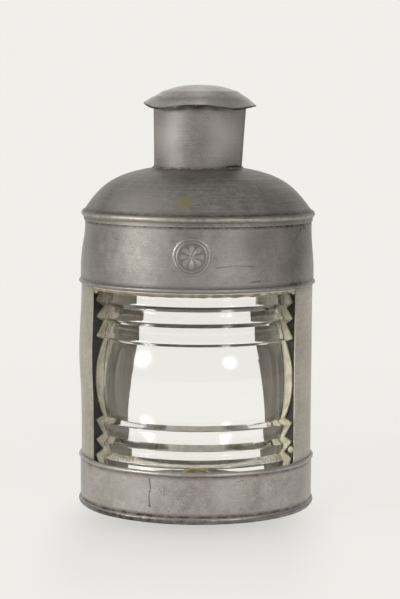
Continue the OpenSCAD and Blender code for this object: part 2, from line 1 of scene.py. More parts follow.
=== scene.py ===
"""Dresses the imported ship's oil lantern in weathered tin, pressed glass, putty, iron and brass.

Sizes in the code are millimetres and angles are degrees unless a name says otherwise. Meshes are in metres.
Polar angles run anticlockwise from +X, so the lens faces 270 degrees and the rear door 90 degrees.
"""
import logging
import math
from dataclasses import dataclass
from enum import Enum

import bmesh
import bpy
import numpy as np
from mathutils import Matrix


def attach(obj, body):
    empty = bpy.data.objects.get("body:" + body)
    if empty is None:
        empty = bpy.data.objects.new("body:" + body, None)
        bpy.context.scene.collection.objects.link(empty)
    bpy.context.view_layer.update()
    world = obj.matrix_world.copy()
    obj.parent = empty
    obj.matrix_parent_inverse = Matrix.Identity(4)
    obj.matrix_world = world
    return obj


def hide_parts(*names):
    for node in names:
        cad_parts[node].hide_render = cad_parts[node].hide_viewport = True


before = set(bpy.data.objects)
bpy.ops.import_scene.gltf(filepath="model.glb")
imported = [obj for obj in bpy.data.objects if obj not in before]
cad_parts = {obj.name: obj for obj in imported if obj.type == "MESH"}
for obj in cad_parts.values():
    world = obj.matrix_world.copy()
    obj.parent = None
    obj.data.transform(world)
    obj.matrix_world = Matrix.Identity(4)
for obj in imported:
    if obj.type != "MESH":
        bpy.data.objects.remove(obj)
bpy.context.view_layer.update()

Array = np.ndarray
Point = tuple[float, float, float]
Material = bpy.types.Material
Socket = bpy.types.NodeSocket
Tree = bpy.types.NodeTree
MM = 0.001
FRONT = 270.0
REAR = 90.0
# Polar angles all the way round, without the last that meets the first
ROUND = np.linspace(0, 360, 240, endpoint=False)
# Width of a spot that runs on in that direction
ENDLESS = math.inf
# A wave texture repeats every pi / 10 of its scaled length
WAVE_SCALE = math.pi / 10
# Numbers of the colour sockets of Blender's Mix node
MIX_A, MIX_B, MIX_OUT = 6, 7, 2

log = logging.getLogger("lantern")


class Body(Enum):
    """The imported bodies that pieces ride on."""

    LANTERN = "lantern"
    DOOR = "door"
    LAMP = "lamp"


def linear(code: str) -> tuple[float, ...]:
    """Turns an sRGB hex colour into linear light.

    Args:
        code: six hex digits after a hash sign.
    Returns:
        Red, green, blue and a full alpha.
    """
    parts = np.array([int(code[i:i + 2], 16) for i in (1, 3, 5)]) / 255
    light = np.where(parts <= 0.04045, parts / 12.92, ((parts + 0.055) / 1.055) ** 2.4)
    return (*light.tolist(), 1.0)


def per_metre(size: float) -> float:
    """Gives the texture scale at which a pattern repeats about every size millimetres."""
    return 1 / (size * MM)


def add_node(
        tree: Tree, kind: str, inputs: dict | None = None, out: int | str = 0, **settings) -> "Socket | None":
    """Adds one node with its settings and links.

    Args:
        tree: the node tree that gets it.
        kind: the node's type name after ShaderNode.
        inputs: plain values, or sockets to link, by the input's name or number.
        out: the output to hand back, by name or number.
        settings: the node's attributes.
    Returns:
        The output's socket, or None from a node that has none.
    """
    node = tree.nodes.new("ShaderNode" + kind)
    for name, value in settings.items():
        setattr(node, name, value)
    for name, value in (inputs or {}).items():
        if isinstance(value, Socket):
            tree.links.new(value, node.inputs[name])
        else:
            node.inputs[name].default_value = value
    return node.outputs[out] if len(node.outputs) else None


def set_ramp(node: bpy.types.Node, stops: list[tuple[float, str]]) -> None:
    """Sets a colour ramp's stops.

    Args:
        node: the ramp's node.
        stops: positions from 0 to 1 with their hex colours.
    """
    ramp = node.color_ramp
    while len(ramp.elements) < len(stops):
        ramp.elements.new(1.0)
    for element, (place, code) in zip(ramp.elements, stops):
        element.position = place
        element.color = linear(code)


def new_material(name: str) -> tuple[Material, Tree, Socket]:
    """Makes an empty node material.

    Args:
        name: the material's name.
    Returns:
        The material, its node tree and the socket of its Object coordinates.
    """
    material = bpy.data.materials.new(name)
    material.use_nodes = True
    tree = material.node_tree
    tree.nodes.clear()
    return material, tree, add_node(tree, "TexCoord", out="Object")


@dataclass(frozen=True)
class Stain:
    """A soft-edged stain round one point of the lantern."""

    centre: Point
    radius: float
    code: str
    strength: float

    def mask(self, tree: Tree, place: Socket) -> Socket:
        """Fades from 1 at the centre to 0 at the radius, by the distance in Object coordinates.

        Args:
            tree: the material's node tree.
            place: the socket with Object coordinates.
        Returns:
            A mask socket, 1 in the middle.
        """
        centre = tuple(v * MM for v in self.centre)
        away = add_node(tree, "VectorMath", {0: place, 1: centre}, "Value", operation="DISTANCE")
        return add_node(tree, "MapRange", {"Value": away, "From Min": self.radius * MM, "From Max": 0.0},
                        interpolation_type="SMOOTHSTEP")


@dataclass(frozen=True)
class Score:
    """A dark scored line on the lantern's wall between two places, each a polar angle and a height."""

    start: tuple[float, float]
    end: tuple[float, float]
    width: float
    strength: float
    tapered: float = 0.42

    def mask(self, tree: Tree, place: Socket, radius: float) -> Socket:
        """Measures along and across the line on the unrolled wall, where the arc is radius times the angle.

        Args:
            tree: the material's node tree.
            place: the socket with Object coordinates.
            radius: the wall's radius.
        Returns:
            A mask socket, 1 on the line.
        """
        parts = add_node(tree, "SeparateXYZ", {0: place}).node.outputs
        turn = add_node(tree, "Math", {0: parts["Y"], 1: parts["X"]}, operation="ARCTAN2")
        arc = add_node(tree, "Math", {0: turn, 1: radius * MM}, operation="MULTIPLY")
        flat = add_node(tree, "CombineXYZ", {"X": arc, "Y": parts["Z"]})
        start, end = (
            np.array([math.radians(angle_off(angle, 0.0)) * radius, z]) * MM
            for angle, z in (self.start, self.end))
        length = float(np.linalg.norm(end - start))
        way = (end - start) / length
        away = add_node(tree, "VectorMath", {0: flat, 1: (*start, 0)}, operation="SUBTRACT")
        along, across = (
            add_node(tree, "VectorMath", {0: away, 1: (*line, 0)}, "Value", operation="DOT_PRODUCT")
            for line in (way, (-way[1], way[0])))
        middle = add_node(tree, "Math", {0: along, 1: length / 2}, operation="SUBTRACT")
        past = add_node(tree, "Math", {0: middle}, operation="ABSOLUTE")
        inside = add_node(tree, "MapRange", {
            "Value": past, "From Min": length / 2, "From Max": self.tapered * length})
        off = add_node(tree, "Math", {0: across}, operation="ABSOLUTE")
        near = add_node(tree, "MapRange", {"Value": off, "From Min": self.width * MM, "From Max": 0.0})
        return add_node(tree, "Math", {0: inside, 1: near}, operation="MULTIPLY")


@dataclass(frozen=True)
class TinFinish:
    """Hot-dipped tinned sheet, dulled and mottled by a century of weather.

    The tin's crystals have gone grey and matt, so the eye gets soft cloudy patches, fine grit, small dark
    pits where the tin is through and thin rubbed scratches, with painted shade in the creases and painted
    highlights on the edges, besides some dirt and rubbing.
    """

    name: str
    mid: str
    pale: str
    dark: str
    # The dark colour is that of pits, scores and dirt, and of painted shade where the wear attribute is below
    # zero; the rubbed colour is laid on for rubbing and for painted highlights where it is above zero
    grime_and_shade: str
    rubbed: str
    metallic: float = 0.85
    roughness: float = 0.42
    cloud: float = 30.0
    patch: float = 5.0
    grit: float = 1.1
    pit: float = 3.4
    pit_spread: float = 0.2
    pit_core: float = 0.06
    scratch: float = 0.5
    scratch_run: float = 60.0
    streaks: float = 0.3
    wall_r: float = 95.0
    stains: tuple[Stain, ...] = ()
    scores: tuple[Score, ...] = ()

    def tone(self, tree: Tree, place: Socket) -> tuple[Socket, Socket, Socket]:
        """Adds up cloud, patch and grit noise to one tone between 0 and 1.

        Args:
            tree: the material's node tree.
            place: the socket with Object coordinates.
        Returns:
            The sockets of the tone, the patch noise and the grit noise.
        """
        noise, total = [], 0.0
        for size, share in ((self.cloud, 0.3), (self.patch, 0.35), (self.grit, 0.35)):
            noise.append(add_node(tree, "TexNoise", {
                "Vector": place, "Scale": per_metre(size), "Detail": 5.0, "Roughness": 0.6}, "Fac"))
            total = add_node(tree, "Math", {0: noise[-1], 1: share, 2: total}, operation="MULTIPLY_ADD")
        return total, noise[1], noise[2]

    def scratches(self, tree: Tree, place: Socket) -> Socket:
        """Draws thin rubbed lines that run round the lantern, wider than real ones so that they show.

        Args:
            tree: the material's node tree.
            place: the socket with Object coordinates.
        Returns:
            The lines' noise socket.
        """
        run = per_metre(self.scratch_run)
        drawn = add_node(tree, "Mapping", {"Vector": place, "Scale": (run, run, per_metre(self.scratch))})
        return add_node(tree, "TexNoise", {"Vector": drawn, "Scale": 1.0, "Detail": 1.0}, "Fac")

    def pits(self, tree: Tree, place: Socket, patch: Socket) -> Socket:
        """Puts small dark pits where the patch noise is high.

        Args:
            tree: the material's node tree.
            place: the socket with Object coordinates.
            patch: the patch noise's socket.
        Returns:
            A mask socket, 1 in the middle of a pit.
        """
        cells = add_node(tree, "TexVoronoi", {"Vector": place, "Scale": per_metre(self.pit)}, "Distance")
        spot = add_node(tree, "MapRange", {
            "Value": cells, "From Min": self.pit_spread, "From Max": self.pit_core})
        where = add_node(tree, "MapRange", {"Value": patch, "From Min": 0.52, "From Max": 0.62})
        return add_node(tree, "Math", {0: spot, 1: where}, operation="MULTIPLY")

    def mixed(self, tree: Tree, mask: Socket, share: float, below: Socket, code: str) -> Socket:
        """Lays a colour over another where a mask says.

        Args:
            tree: the material's node tree.
            mask: the mask's socket.
            share: how much of the colour shows where the mask is 1.
            below: the socket of the colour under it.
            code: the hex colour laid on.
        Returns:
            The mixed colour's socket.
        """
        amount = add_node(tree, "Math", {0: mask, 1: share}, operation="MULTIPLY", use_clamp=True)
        laid = {0: amount, MIX_A: below, MIX_B: linear(code)}
        return add_node(tree, "Mix", laid, MIX_OUT, data_type="RGBA")

    def build(self) -> Material:
        """Builds the material: tone, streaks, pits, stains, scores, then rubbing, dirt, painted light and
        shade, one on the other.

        Returns:
            The material.
        """
        material, tree, place = new_material(self.name)
        tone, patch, grit = self.tone(tree, place)
        colour = add_node(tree, "ValToRGB", {"Fac": tone})
        set_ramp(colour.node, [(0.4, self.dark), (0.5, self.mid), (0.6, self.pale)])
        lines = self.scratches(tree, place)
        for full, code in ((0.76, self.pale), (0.24, self.dark)):
            streak = add_node(tree, "MapRange", {"Value": lines, "From Min": 0.5, "From Max": full})
            colour = self.mixed(tree, streak, self.streaks, colour, code)
        pits = self.pits(tree, place, patch)
        colour = self.mixed(tree, pits, 0.6, colour, self.grime_and_shade)
        for stain in self.stains:
            colour = self.mixed(tree, stain.mask(tree, place), stain.strength, colour, stain.code)
        for score in self.scores:
            mask = score.mask(tree, place, self.wall_r)
            colour = self.mixed(tree, mask, score.strength, colour, self.grime_and_shade)
        # The wear attribute: above zero rubbing and painted highlights, below zero dirt and painted shade
        wear_and_shade = add_node(tree, "Attribute", out="Fac", attribute_name="wear_and_shade")
        uneven = add_node(tree, "MapRange", {
            "Value": patch, "From Min": 0.35, "From Max": 0.6, "To Min": 0.35})
        rubbed = add_node(tree, "Math", {0: wear_and_shade, 1: uneven}, operation="MULTIPLY")
        dirt_and_shade = add_node(tree, "Math", {0: rubbed, 1: -1.0}, operation="MULTIPLY")
        colour = self.mixed(tree, rubbed, 0.7, colour, self.rubbed)
        colour = self.mixed(tree, dirt_and_shade, 0.85, colour, self.grime_and_shade)
        rough = add_node(tree, "MapRange", {
            "Value": patch, "From Min": 0.3, "From Max": 0.7,
            "To Min": self.roughness - 0.07, "To Max": self.roughness + 0.1})
        height = add_node(tree, "Math", {0: grit, 1: 0.35, 2: patch}, operation="MULTIPLY_ADD")
        sunk = add_node(tree, "Math", {0: pits, 1: -0.5, 2: height}, operation="MULTIPLY_ADD")
        bump = add_node(tree, "Bump", {"Height": sunk, "Strength": 0.3, "Distance": 0.6 * MM})
        shader = add_node(tree, "BsdfPrincipled", {
            "Base Color": colour, "Metallic": self.metallic, "Roughness": rough, "Normal": bump})
        add_node(tree, "OutputMaterial", {"Surface": shader})
        return material


@dataclass(frozen=True)
class MottledFinish:
    """A surface of two mixed tones with its own grain, for putty, solder, iron and brass."""

    name: str
    light: str
    dark: str
    metallic: float
    roughness: float
    patch: float
    grain: float
    relief: float
    low: float = 0.4
    high: float = 0.6
    soiled: str = ""
    soiling: float = 0.3

    def build(self) -> Material:
        """Builds the material: patch noise with some grain on a ramp, soiled where the wear is below zero.

        Returns:
            The material.
        """
        material, tree, place = new_material(self.name)
        patch, grain = (
            add_node(tree, "TexNoise", {"Vector": place, "Scale": per_metre(size), "Detail": detail}, "Fac")
            for size, detail in ((self.patch, 4.0), (self.grain, 3.0)))
        tone = add_node(tree, "Math", {0: grain, 1: 0.3, 2: patch}, operation="MULTIPLY_ADD")
        level = add_node(tree, "Math", {0: tone, 1: 0.15}, operation="SUBTRACT")
        stops = [(self.low, self.dark), (self.high, self.light)]
        if self.soiled:
            wear_and_shade = add_node(tree, "Attribute", out="Fac", attribute_name="wear_and_shade")
            level = add_node(tree, "Math", {0: level, 1: wear_and_shade})
            stops.insert(0, (self.low - self.soiling, self.soiled))
        colour = add_node(tree, "ValToRGB", {"Fac": level})
        set_ramp(colour.node, stops)
        rough = add_node(tree, "MapRange", {
            "Value": grain, "From Min": 0.3, "From Max": 0.7,
            "To Min": self.roughness - 0.06, "To Max": self.roughness + 0.08})
        bump = add_node(tree, "Bump", {"Height": tone, "Strength": 0.4, "Distance": self.relief * MM})
        shader = add_node(tree, "BsdfPrincipled", {
            "Base Color": colour, "Metallic": self.metallic, "Roughness": rough, "Normal": bump})
        add_node(tree, "OutputMaterial", {"Surface": shader})
        return material


@dataclass(frozen=True)
class GlassFinish:
    """Clear pressed glass: a bright smooth surface with the slow waves of the mould and a little dust."""

    name: str = "pressed soda glass, fire polished"
    code: str = "#FFFEFB"
    ior: float = 1.5
    wave: float = 16.0
    dust: float = 5.0
    dusty: float = 0.09

    def build(self) -> Material:
        """Builds the material: wave noise in the bump, dust noise in the roughness.

        Returns:
            The material.
        """
        material, tree, place = new_material(self.name)
        wave, dust = (
            add_node(tree, "TexNoise", {"Vector": place, "Scale": per_metre(size), "Detail": detail}, "Fac")
            for size, detail in ((self.wave, 1.0), (self.dust, 5.0)))
        bump = add_node(tree, "Bump", {"Height": wave, "Strength": 0.12, "Distance": 0.4 * MM})
        rough = add_node(tree, "MapRange", {
            "Value": dust, "From Min": 0.55, "From Max": 0.8, "To Max": self.dusty})
        shader = add_node(tree, "BsdfPrincipled", {
            "Base Color": linear(self.code), "IOR": self.ior, "Transmission Weight": 1.0,
            "Roughness": rough, "Normal": bump})
        add_node(tree, "OutputMaterial", {"Surface": shader})
        return material


@dataclass(frozen=True)
class WickFinish:
    """Flat woven cotton: cream threads over and under, matt, singed at the burning end."""

    name: str = "woven cotton wick"
    thread_code: str = "#D8CDB4"
    gap_code: str = "#8E8267"
    singed_code: str = "#2B2621"
    thread: float = 1.1
    singed_from: float = 47.5
    singed_over: float = 2.0

    def build(self) -> Material:
        """Builds the material: one wave across times one along, dark above the singed height.

        Returns:
            The material.
        """
        material, tree, place = new_material(self.name)
        spacing = per_metre(self.thread) * WAVE_SCALE
        across, along = (
            add_node(tree, "TexWave", {"Vector": place, "Scale": spacing, "Distortion": 0.4}, "Fac",
                     bands_direction=way)
            for way in "XZ")
        weave = add_node(tree, "Math", {0: across, 1: along}, operation="MULTIPLY")
        threads = add_node(tree, "ValToRGB", {"Fac": weave})
        set_ramp(threads.node, [(0.1, self.gap_code), (0.5, self.thread_code)])
        height = add_node(tree, "SeparateXYZ", {0: place}, "Z")
        singed = add_node(tree, "MapRange", {
            "Value": height, "From Min": self.singed_from * MM,
            "From Max": (self.singed_from + self.singed_over) * MM})
        colour = add_node(tree, "Mix", {0: singed, MIX_A: threads, MIX_B: linear(self.singed_code)}, MIX_OUT,
                          data_type="RGBA")
        bump = add_node(tree, "Bump", {"Height": weave, "Strength": 0.6, "Distance": 0.3 * MM})
        shader = add_node(tree, "BsdfPrincipled", {"Base Color": colour, "Roughness": 0.95, "Normal": bump})
        add_node(tree, "OutputMaterial", {"Surface": shader})
        return material


def polar(points: Array) -> tuple[Array, Array, Array]:
    """Gives radius, polar angle and height of points."""
    angle = np.degrees(np.arctan2(points[..., 1], points[..., 0])) % 360
    return np.hypot(points[..., 0], points[..., 1]), angle, points[..., 2]


def from_polar(r: Array, angle: Array, z: Array) -> Array:
    """Gives points with x = r cos a, y = r sin a at height z."""
    a = np.radians(angle)
    return np.stack(np.broadcast_arrays(r * np.cos(a), r * np.sin(a), z), axis=-1)


def angle_off(angle: Array, centre: float) -> Array:
    """Gives how far angles are from a centre, between -180 and 180."""
    return (angle - centre + 180) % 360 - 180


def bell(off: Array, width: float) -> Array:
    """Gives exp(-(off / width)^2), a bell curve of height 1."""
    return np.exp(-(off / width) ** 2)


@dataclass(frozen=True)
class Spot:
    """A bell-shaped spot on the sheet: a dent or bulge by its amount outwards, or darkening below zero, for
    dirt and for painted shade.
    """

    angle: float
    z: float
    angle_width: float
    z_width: float
    amount: float

    def at(self, angle: Array, z: Array) -> Array:
        """Gives the amount at polar angles and heights."""
        across = bell(angle_off(angle, self.angle), self.angle_width)
        return self.amount * across * bell(z - self.z, self.z_width)


@dataclass
class Solid:
    """Points in millimetres with faces, and for each point rubbing and painted highlights above zero, dirt
    and painted shade below.
    """

    points: Array
    faces: list[list[int]]
    wear_and_shade: Array

    @staticmethod
    def joined(parts: list["Solid"]) -> "Solid":
        """Puts several solids into one.

        Args:
            parts: the solids.
        Returns:
            One solid with all their points and faces.
        """
        faces: list[list[int]] = []
        start = 0
        for part in parts:
            faces += [[start + i for i in face] for face in part.faces]
            start += len(part.points)
        wear_and_shade = np.concatenate([p.wear_and_shade for p in parts])
        return Solid(np.concatenate([p.points for p in parts]), faces, wear_and_shade)

    def shaded_and_worn(self, lines: tuple[Point, ...], spots: tuple[Spot, ...] = ()) -> "Solid":
        """Adds up dirt, rubbing, painted shade and painted highlights in lines that run round, and in spots.

        Args:
            lines: height, half width and amount of each line, above zero rubbing and painted highlights,
                below dirt and painted shade.
            spots: the spots.
        Returns:
            The solid with these amounts set.
        """
        angle, z = polar(self.points)[1:]
        wear_and_shade = sum(amount * bell(z - at, width) for at, width, amount in lines)
        return Solid(self.points, self.faces, wear_and_shade + sum(spot.at(angle, z) for spot in spots))


def ripple(u: Array, v: Array, seed: int, waves: int = 9, lowest: float = 1.0, highest: float = 6.0) -> Array:
    """Adds up sine waves of seeded direction, length and phase, about -1 to 1.

    Args:
        u: first coordinate, 0 to 1 over the piece.
        v: second coordinate on the same scale.
        seed: number that fixes the waves.
        waves: how many waves.
        lowest: fewest periods over the piece.
        highest: most periods over the piece.
    Returns:
        The sum at each point.
    """
    rng = np.random.default_rng(seed)
    total = np.zeros(np.broadcast(u, v).shape)
    for _ in range(waves):
        turn, phase = rng.uniform(0, 2 * np.pi, 2)
        count = rng.uniform(lowest, highest)
        total = total + np.sin(2 * np.pi * count * (u * np.cos(turn) + v * np.sin(turn)) + phase)
    return total / math.sqrt(waves)


def around(angle: Array, seed: int, waves: int = 8, highest: int = 14) -> Array:
    """Adds up sine waves that close on themselves round the axis, about -1 to 1.

    Args:
        angle: polar angles.
        seed: number that fixes the waves.
        waves: how many waves.
        highest: most periods in a turn.
    Returns:
        The sum at each angle.
    """
    rng = np.random.default_rng(seed)
    counts = rng.integers(2, highest, waves)
    phases = rng.uniform(0, 2 * np.pi, waves)
    return np.sin(np.radians(angle)[..., None] * counts + phases).sum(-1) / math.sqrt(waves)


def bead(r: float, z: float, height: float, out: float, steps: int = 12) -> Array:
    """Gives the rounded outline of a swaged bead: r + out sin(pi t) at height z + height t."""
    t = np.linspace(0, 1, steps + 1)
    return np.stack([r + out * np.sin(np.pi * t), z + height * t], axis=1)


def fine(outline: Array, step: float) -> Array:
    """Puts points on a closed outline's long edges so that none is longer than a step.

    Args:
        outline: corner points (r, z).
        step: longest edge.
    Returns:
        The corners with points between them.
    """
    ends = np.roll(outline, -1, axis=0)
    counts = np.maximum(1, np.ceil(np.linalg.norm(ends - outline, axis=1) / step).astype(int))
    starts = np.repeat(outline, counts, axis=0)
    runs = np.repeat(ends - outline, counts, axis=0)
    first = np.repeat(np.cumsum(counts) - counts, counts)
    share = (np.arange(counts.sum()) - first) / np.repeat(counts, counts)
    return starts + runs * share[:, None]


def turned(outline: Array, angles: Array = ROUND, full: bool = True) -> Solid:
    """Carries a closed outline round the axis: each point becomes (r cos a, r sin a, z).

    Args:
        outline: points (r, z), anticlockwise with r to the right and z up.
        angles: polar angles, in rising order.
        full: True if the last angle joins the first, False for a sector with flat ends.
    Returns:
        The closed solid.
    """
    rows, columns = len(outline), len(angles)
    grid = from_polar(outline[:, :1], angles[None, :], outline[:, 1:])
    index = np.arange(rows * columns).reshape(rows, columns)
    low = index if full else index[:, :-1]
    high = np.roll(index, -1, axis=1) if full else index[:, 1:]
    quads = np.stack([low, high, np.roll(high, -1, axis=0), np.roll(low, -1, axis=0)], axis=-1)
    faces = quads.reshape(-1, 4).tolist()
    if not full:
        faces += [index[:, 0].tolist(), index[::-1, -1].tolist()]
    return Solid(grid.reshape(-1, 3), faces, np.zeros(rows * columns))


def spaced(marks: Array, step: float) -> Array:
    """Gives values from mark to mark, no further apart than a step, without the last mark."""
    counts = np.ceil(np.diff(marks) / step).astype(int)
    return np.concatenate([
        np.linspace(a, b, n, endpoint=False) for a, b, n in zip(marks[:-1], marks[1:], counts)])


def disc_quads(rows: int, columns: int) -> Array:
    """Joins rings of points, one inside the other, each ring's last point next to its first.

    Args:
        rows: how many rings, from the inside out.
        columns: points in each ring.
    Returns:
        Four point numbers for each quad.
    """
    index = np.arange(rows * columns).reshape(rows, columns)
    near, far = index[:-1], index[1:]
    return np.stack([near, far, np.roll(far, -1, axis=1), np.roll(near, -1, axis=1)], axis=-1).reshape(-1, 4)


def pierced_ring(r_in: float, r_out: float, angles: Array, heights: Array, keep: Array) -> Solid:
    """Makes a sheet ring with openings: two grids, with walls where a kept cell meets an open one.

    Args:
        r_in: inner radius.
        r_out: outer radius.
        angles: polar angles of the grid's columns, all the way round.
        heights: heights of the grid's rows.
        keep: True for each cell of sheet, with one row fewer than heights and one column for each angle.
    Returns:
        The closed solid.
    """
    size = len(heights) * len(angles)
    outer = np.arange(size).reshape(len(heights), len(angles))
    o00, o01 = outer[:-1], np.roll(outer, -1, axis=1)[:-1]
    o10, o11 = outer[1:], np.roll(outer, -1, axis=1)[1:]
    i00, i01, i10, i11 = o00 + size, o01 + size, o10 + size, o11 + size
    padded = np.pad(keep, ((1, 1), (0, 0)))
    edges = [
        (keep, (o00, o01, o11, o10)),
        (keep, (i00, i10, i11, i01)),
        (keep & ~padded[:-2], (o00, i00, i01, o01)),
        (keep & ~padded[2:], (o11, i11, i10, o10)),
        (keep & ~np.roll(keep, 1, axis=1), (o10, i10, i00, o00)),
        (keep & ~np.roll(keep, -1, axis=1), (o01, i01, i11, o11)),
    ]
    quads = np.concatenate([np.stack(corners, axis=-1)[mask] for mask, corners in edges])
    radii = np.array([r_out, r_in])[:, None, None]
    points = from_polar(radii, angles[None, None, :], heights[None, :, None]).reshape(-1, 3)
    used, packed = np.unique(quads, return_inverse=True)
    return Solid(points[used], packed.reshape(-1, 4).tolist(), np.zeros(len(used)))


def lump(centre: Array, radii: Point, seed: int) -> Solid:
    """Makes a rounded blob: a sphere stretched by its radii, with its surface rippled in and out.

    Args:
        centre: middle of the blob.
        radii: half sizes along x, y and z.
        seed: number that fixes the ripples.
    Returns:
        The closed solid.
    """
    rows, columns = 13, 24
    tilt = np.linspace(0, np.pi, rows)[:, None]
    turn = np.linspace(0, 2 * np.pi, columns, endpoint=False)[None, :]
    flat = np.sin(tilt)
    swell = 1 + 0.13 * flat * np.sin(2 * turn + seed) + 0.1 * flat * np.sin(3 * turn + 2 * seed)
    unit = np.stack(np.broadcast_arrays(flat * np.cos(turn), flat * np.sin(turn), np.cos(tilt)), -1)
    points = (centre + unit * swell[..., None] * np.array(radii)).reshape(-1, 3)
    return Solid(points, disc_quads(rows, columns).tolist(), np.zeros(rows * columns))


def plain_object(name: str, points: Array, faces: list[list[int]]) -> bpy.types.Object:
    """Makes a Blender object and puts it into the scene.

    Args:
        name: the object's name.
        points: its points in millimetres.
        faces: point numbers of each face.
    Returns:
        The object.
    """
    mesh = bpy.data.meshes.new(name)
    mesh.from_pydata((points * MM).tolist(), [], faces)
    made = bpy.data.objects.new(name, mesh)
    bpy.context.scene.collection.objects.link(made)
    return made


def add_piece(name: str, solid: Solid, material: Material, body: Body, slot: str,
              replaces: tuple[str, ...] = (), sharp: float = 32.0) -> bpy.types.Object:
    """Makes a Blender object of a solid, dresses it and ties it to the frame.

    Args:
        name: the piece's name.
        solid: its points, faces, and amounts of rubbing, dirt and painted light and shade.
        material: its finish.
        body: the body that it rides on.
        slot: not used.
        replaces: the CAD nodes that it stands for.
        sharp: angle between faces from which an edge stays sharp.
    Returns:
        The object.
    """
    piece = plain_object(name, solid.points, solid.faces)
    mesh = piece.data
    wear_and_shade = mesh.attributes.new("wear_and_shade", "FLOAT", "POINT")
    wear_and_shade.data.foreach_set("value", solid.wear_and_shade.astype(np.float32))
    shape = bmesh.new()
    shape.from_mesh(mesh)
    bmesh.ops.remove_doubles(shape, verts=shape.verts, dist=1e-7)
    shape.to_mesh(mesh)
    shape.free()
    mesh.polygons.foreach_set("use_smooth", np.ones(len(mesh.polygons), bool))
    mesh.set_sharp_from_angle(angle=math.radians(sharp))
    mesh.materials.append(material)
    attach(piece, body.value)
    if replaces:
        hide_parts(*replaces)
    log.info("%s: %d faces on %s", name, len(mesh.polygons), body.value)
    return piece


def dress(nodes: tuple[str, ...], material: Material) -> None:
    """Gives CAD nodes that are shown as they are a finish of their own.

    Args:
        nodes: the nodes' names.
        material: the finish.
    """
    for node in nodes:
        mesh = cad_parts[node].data
        mesh.materials.clear()
        mesh.materials.append(material)
        log.info("%s: CAD node in %s", node, material.name)


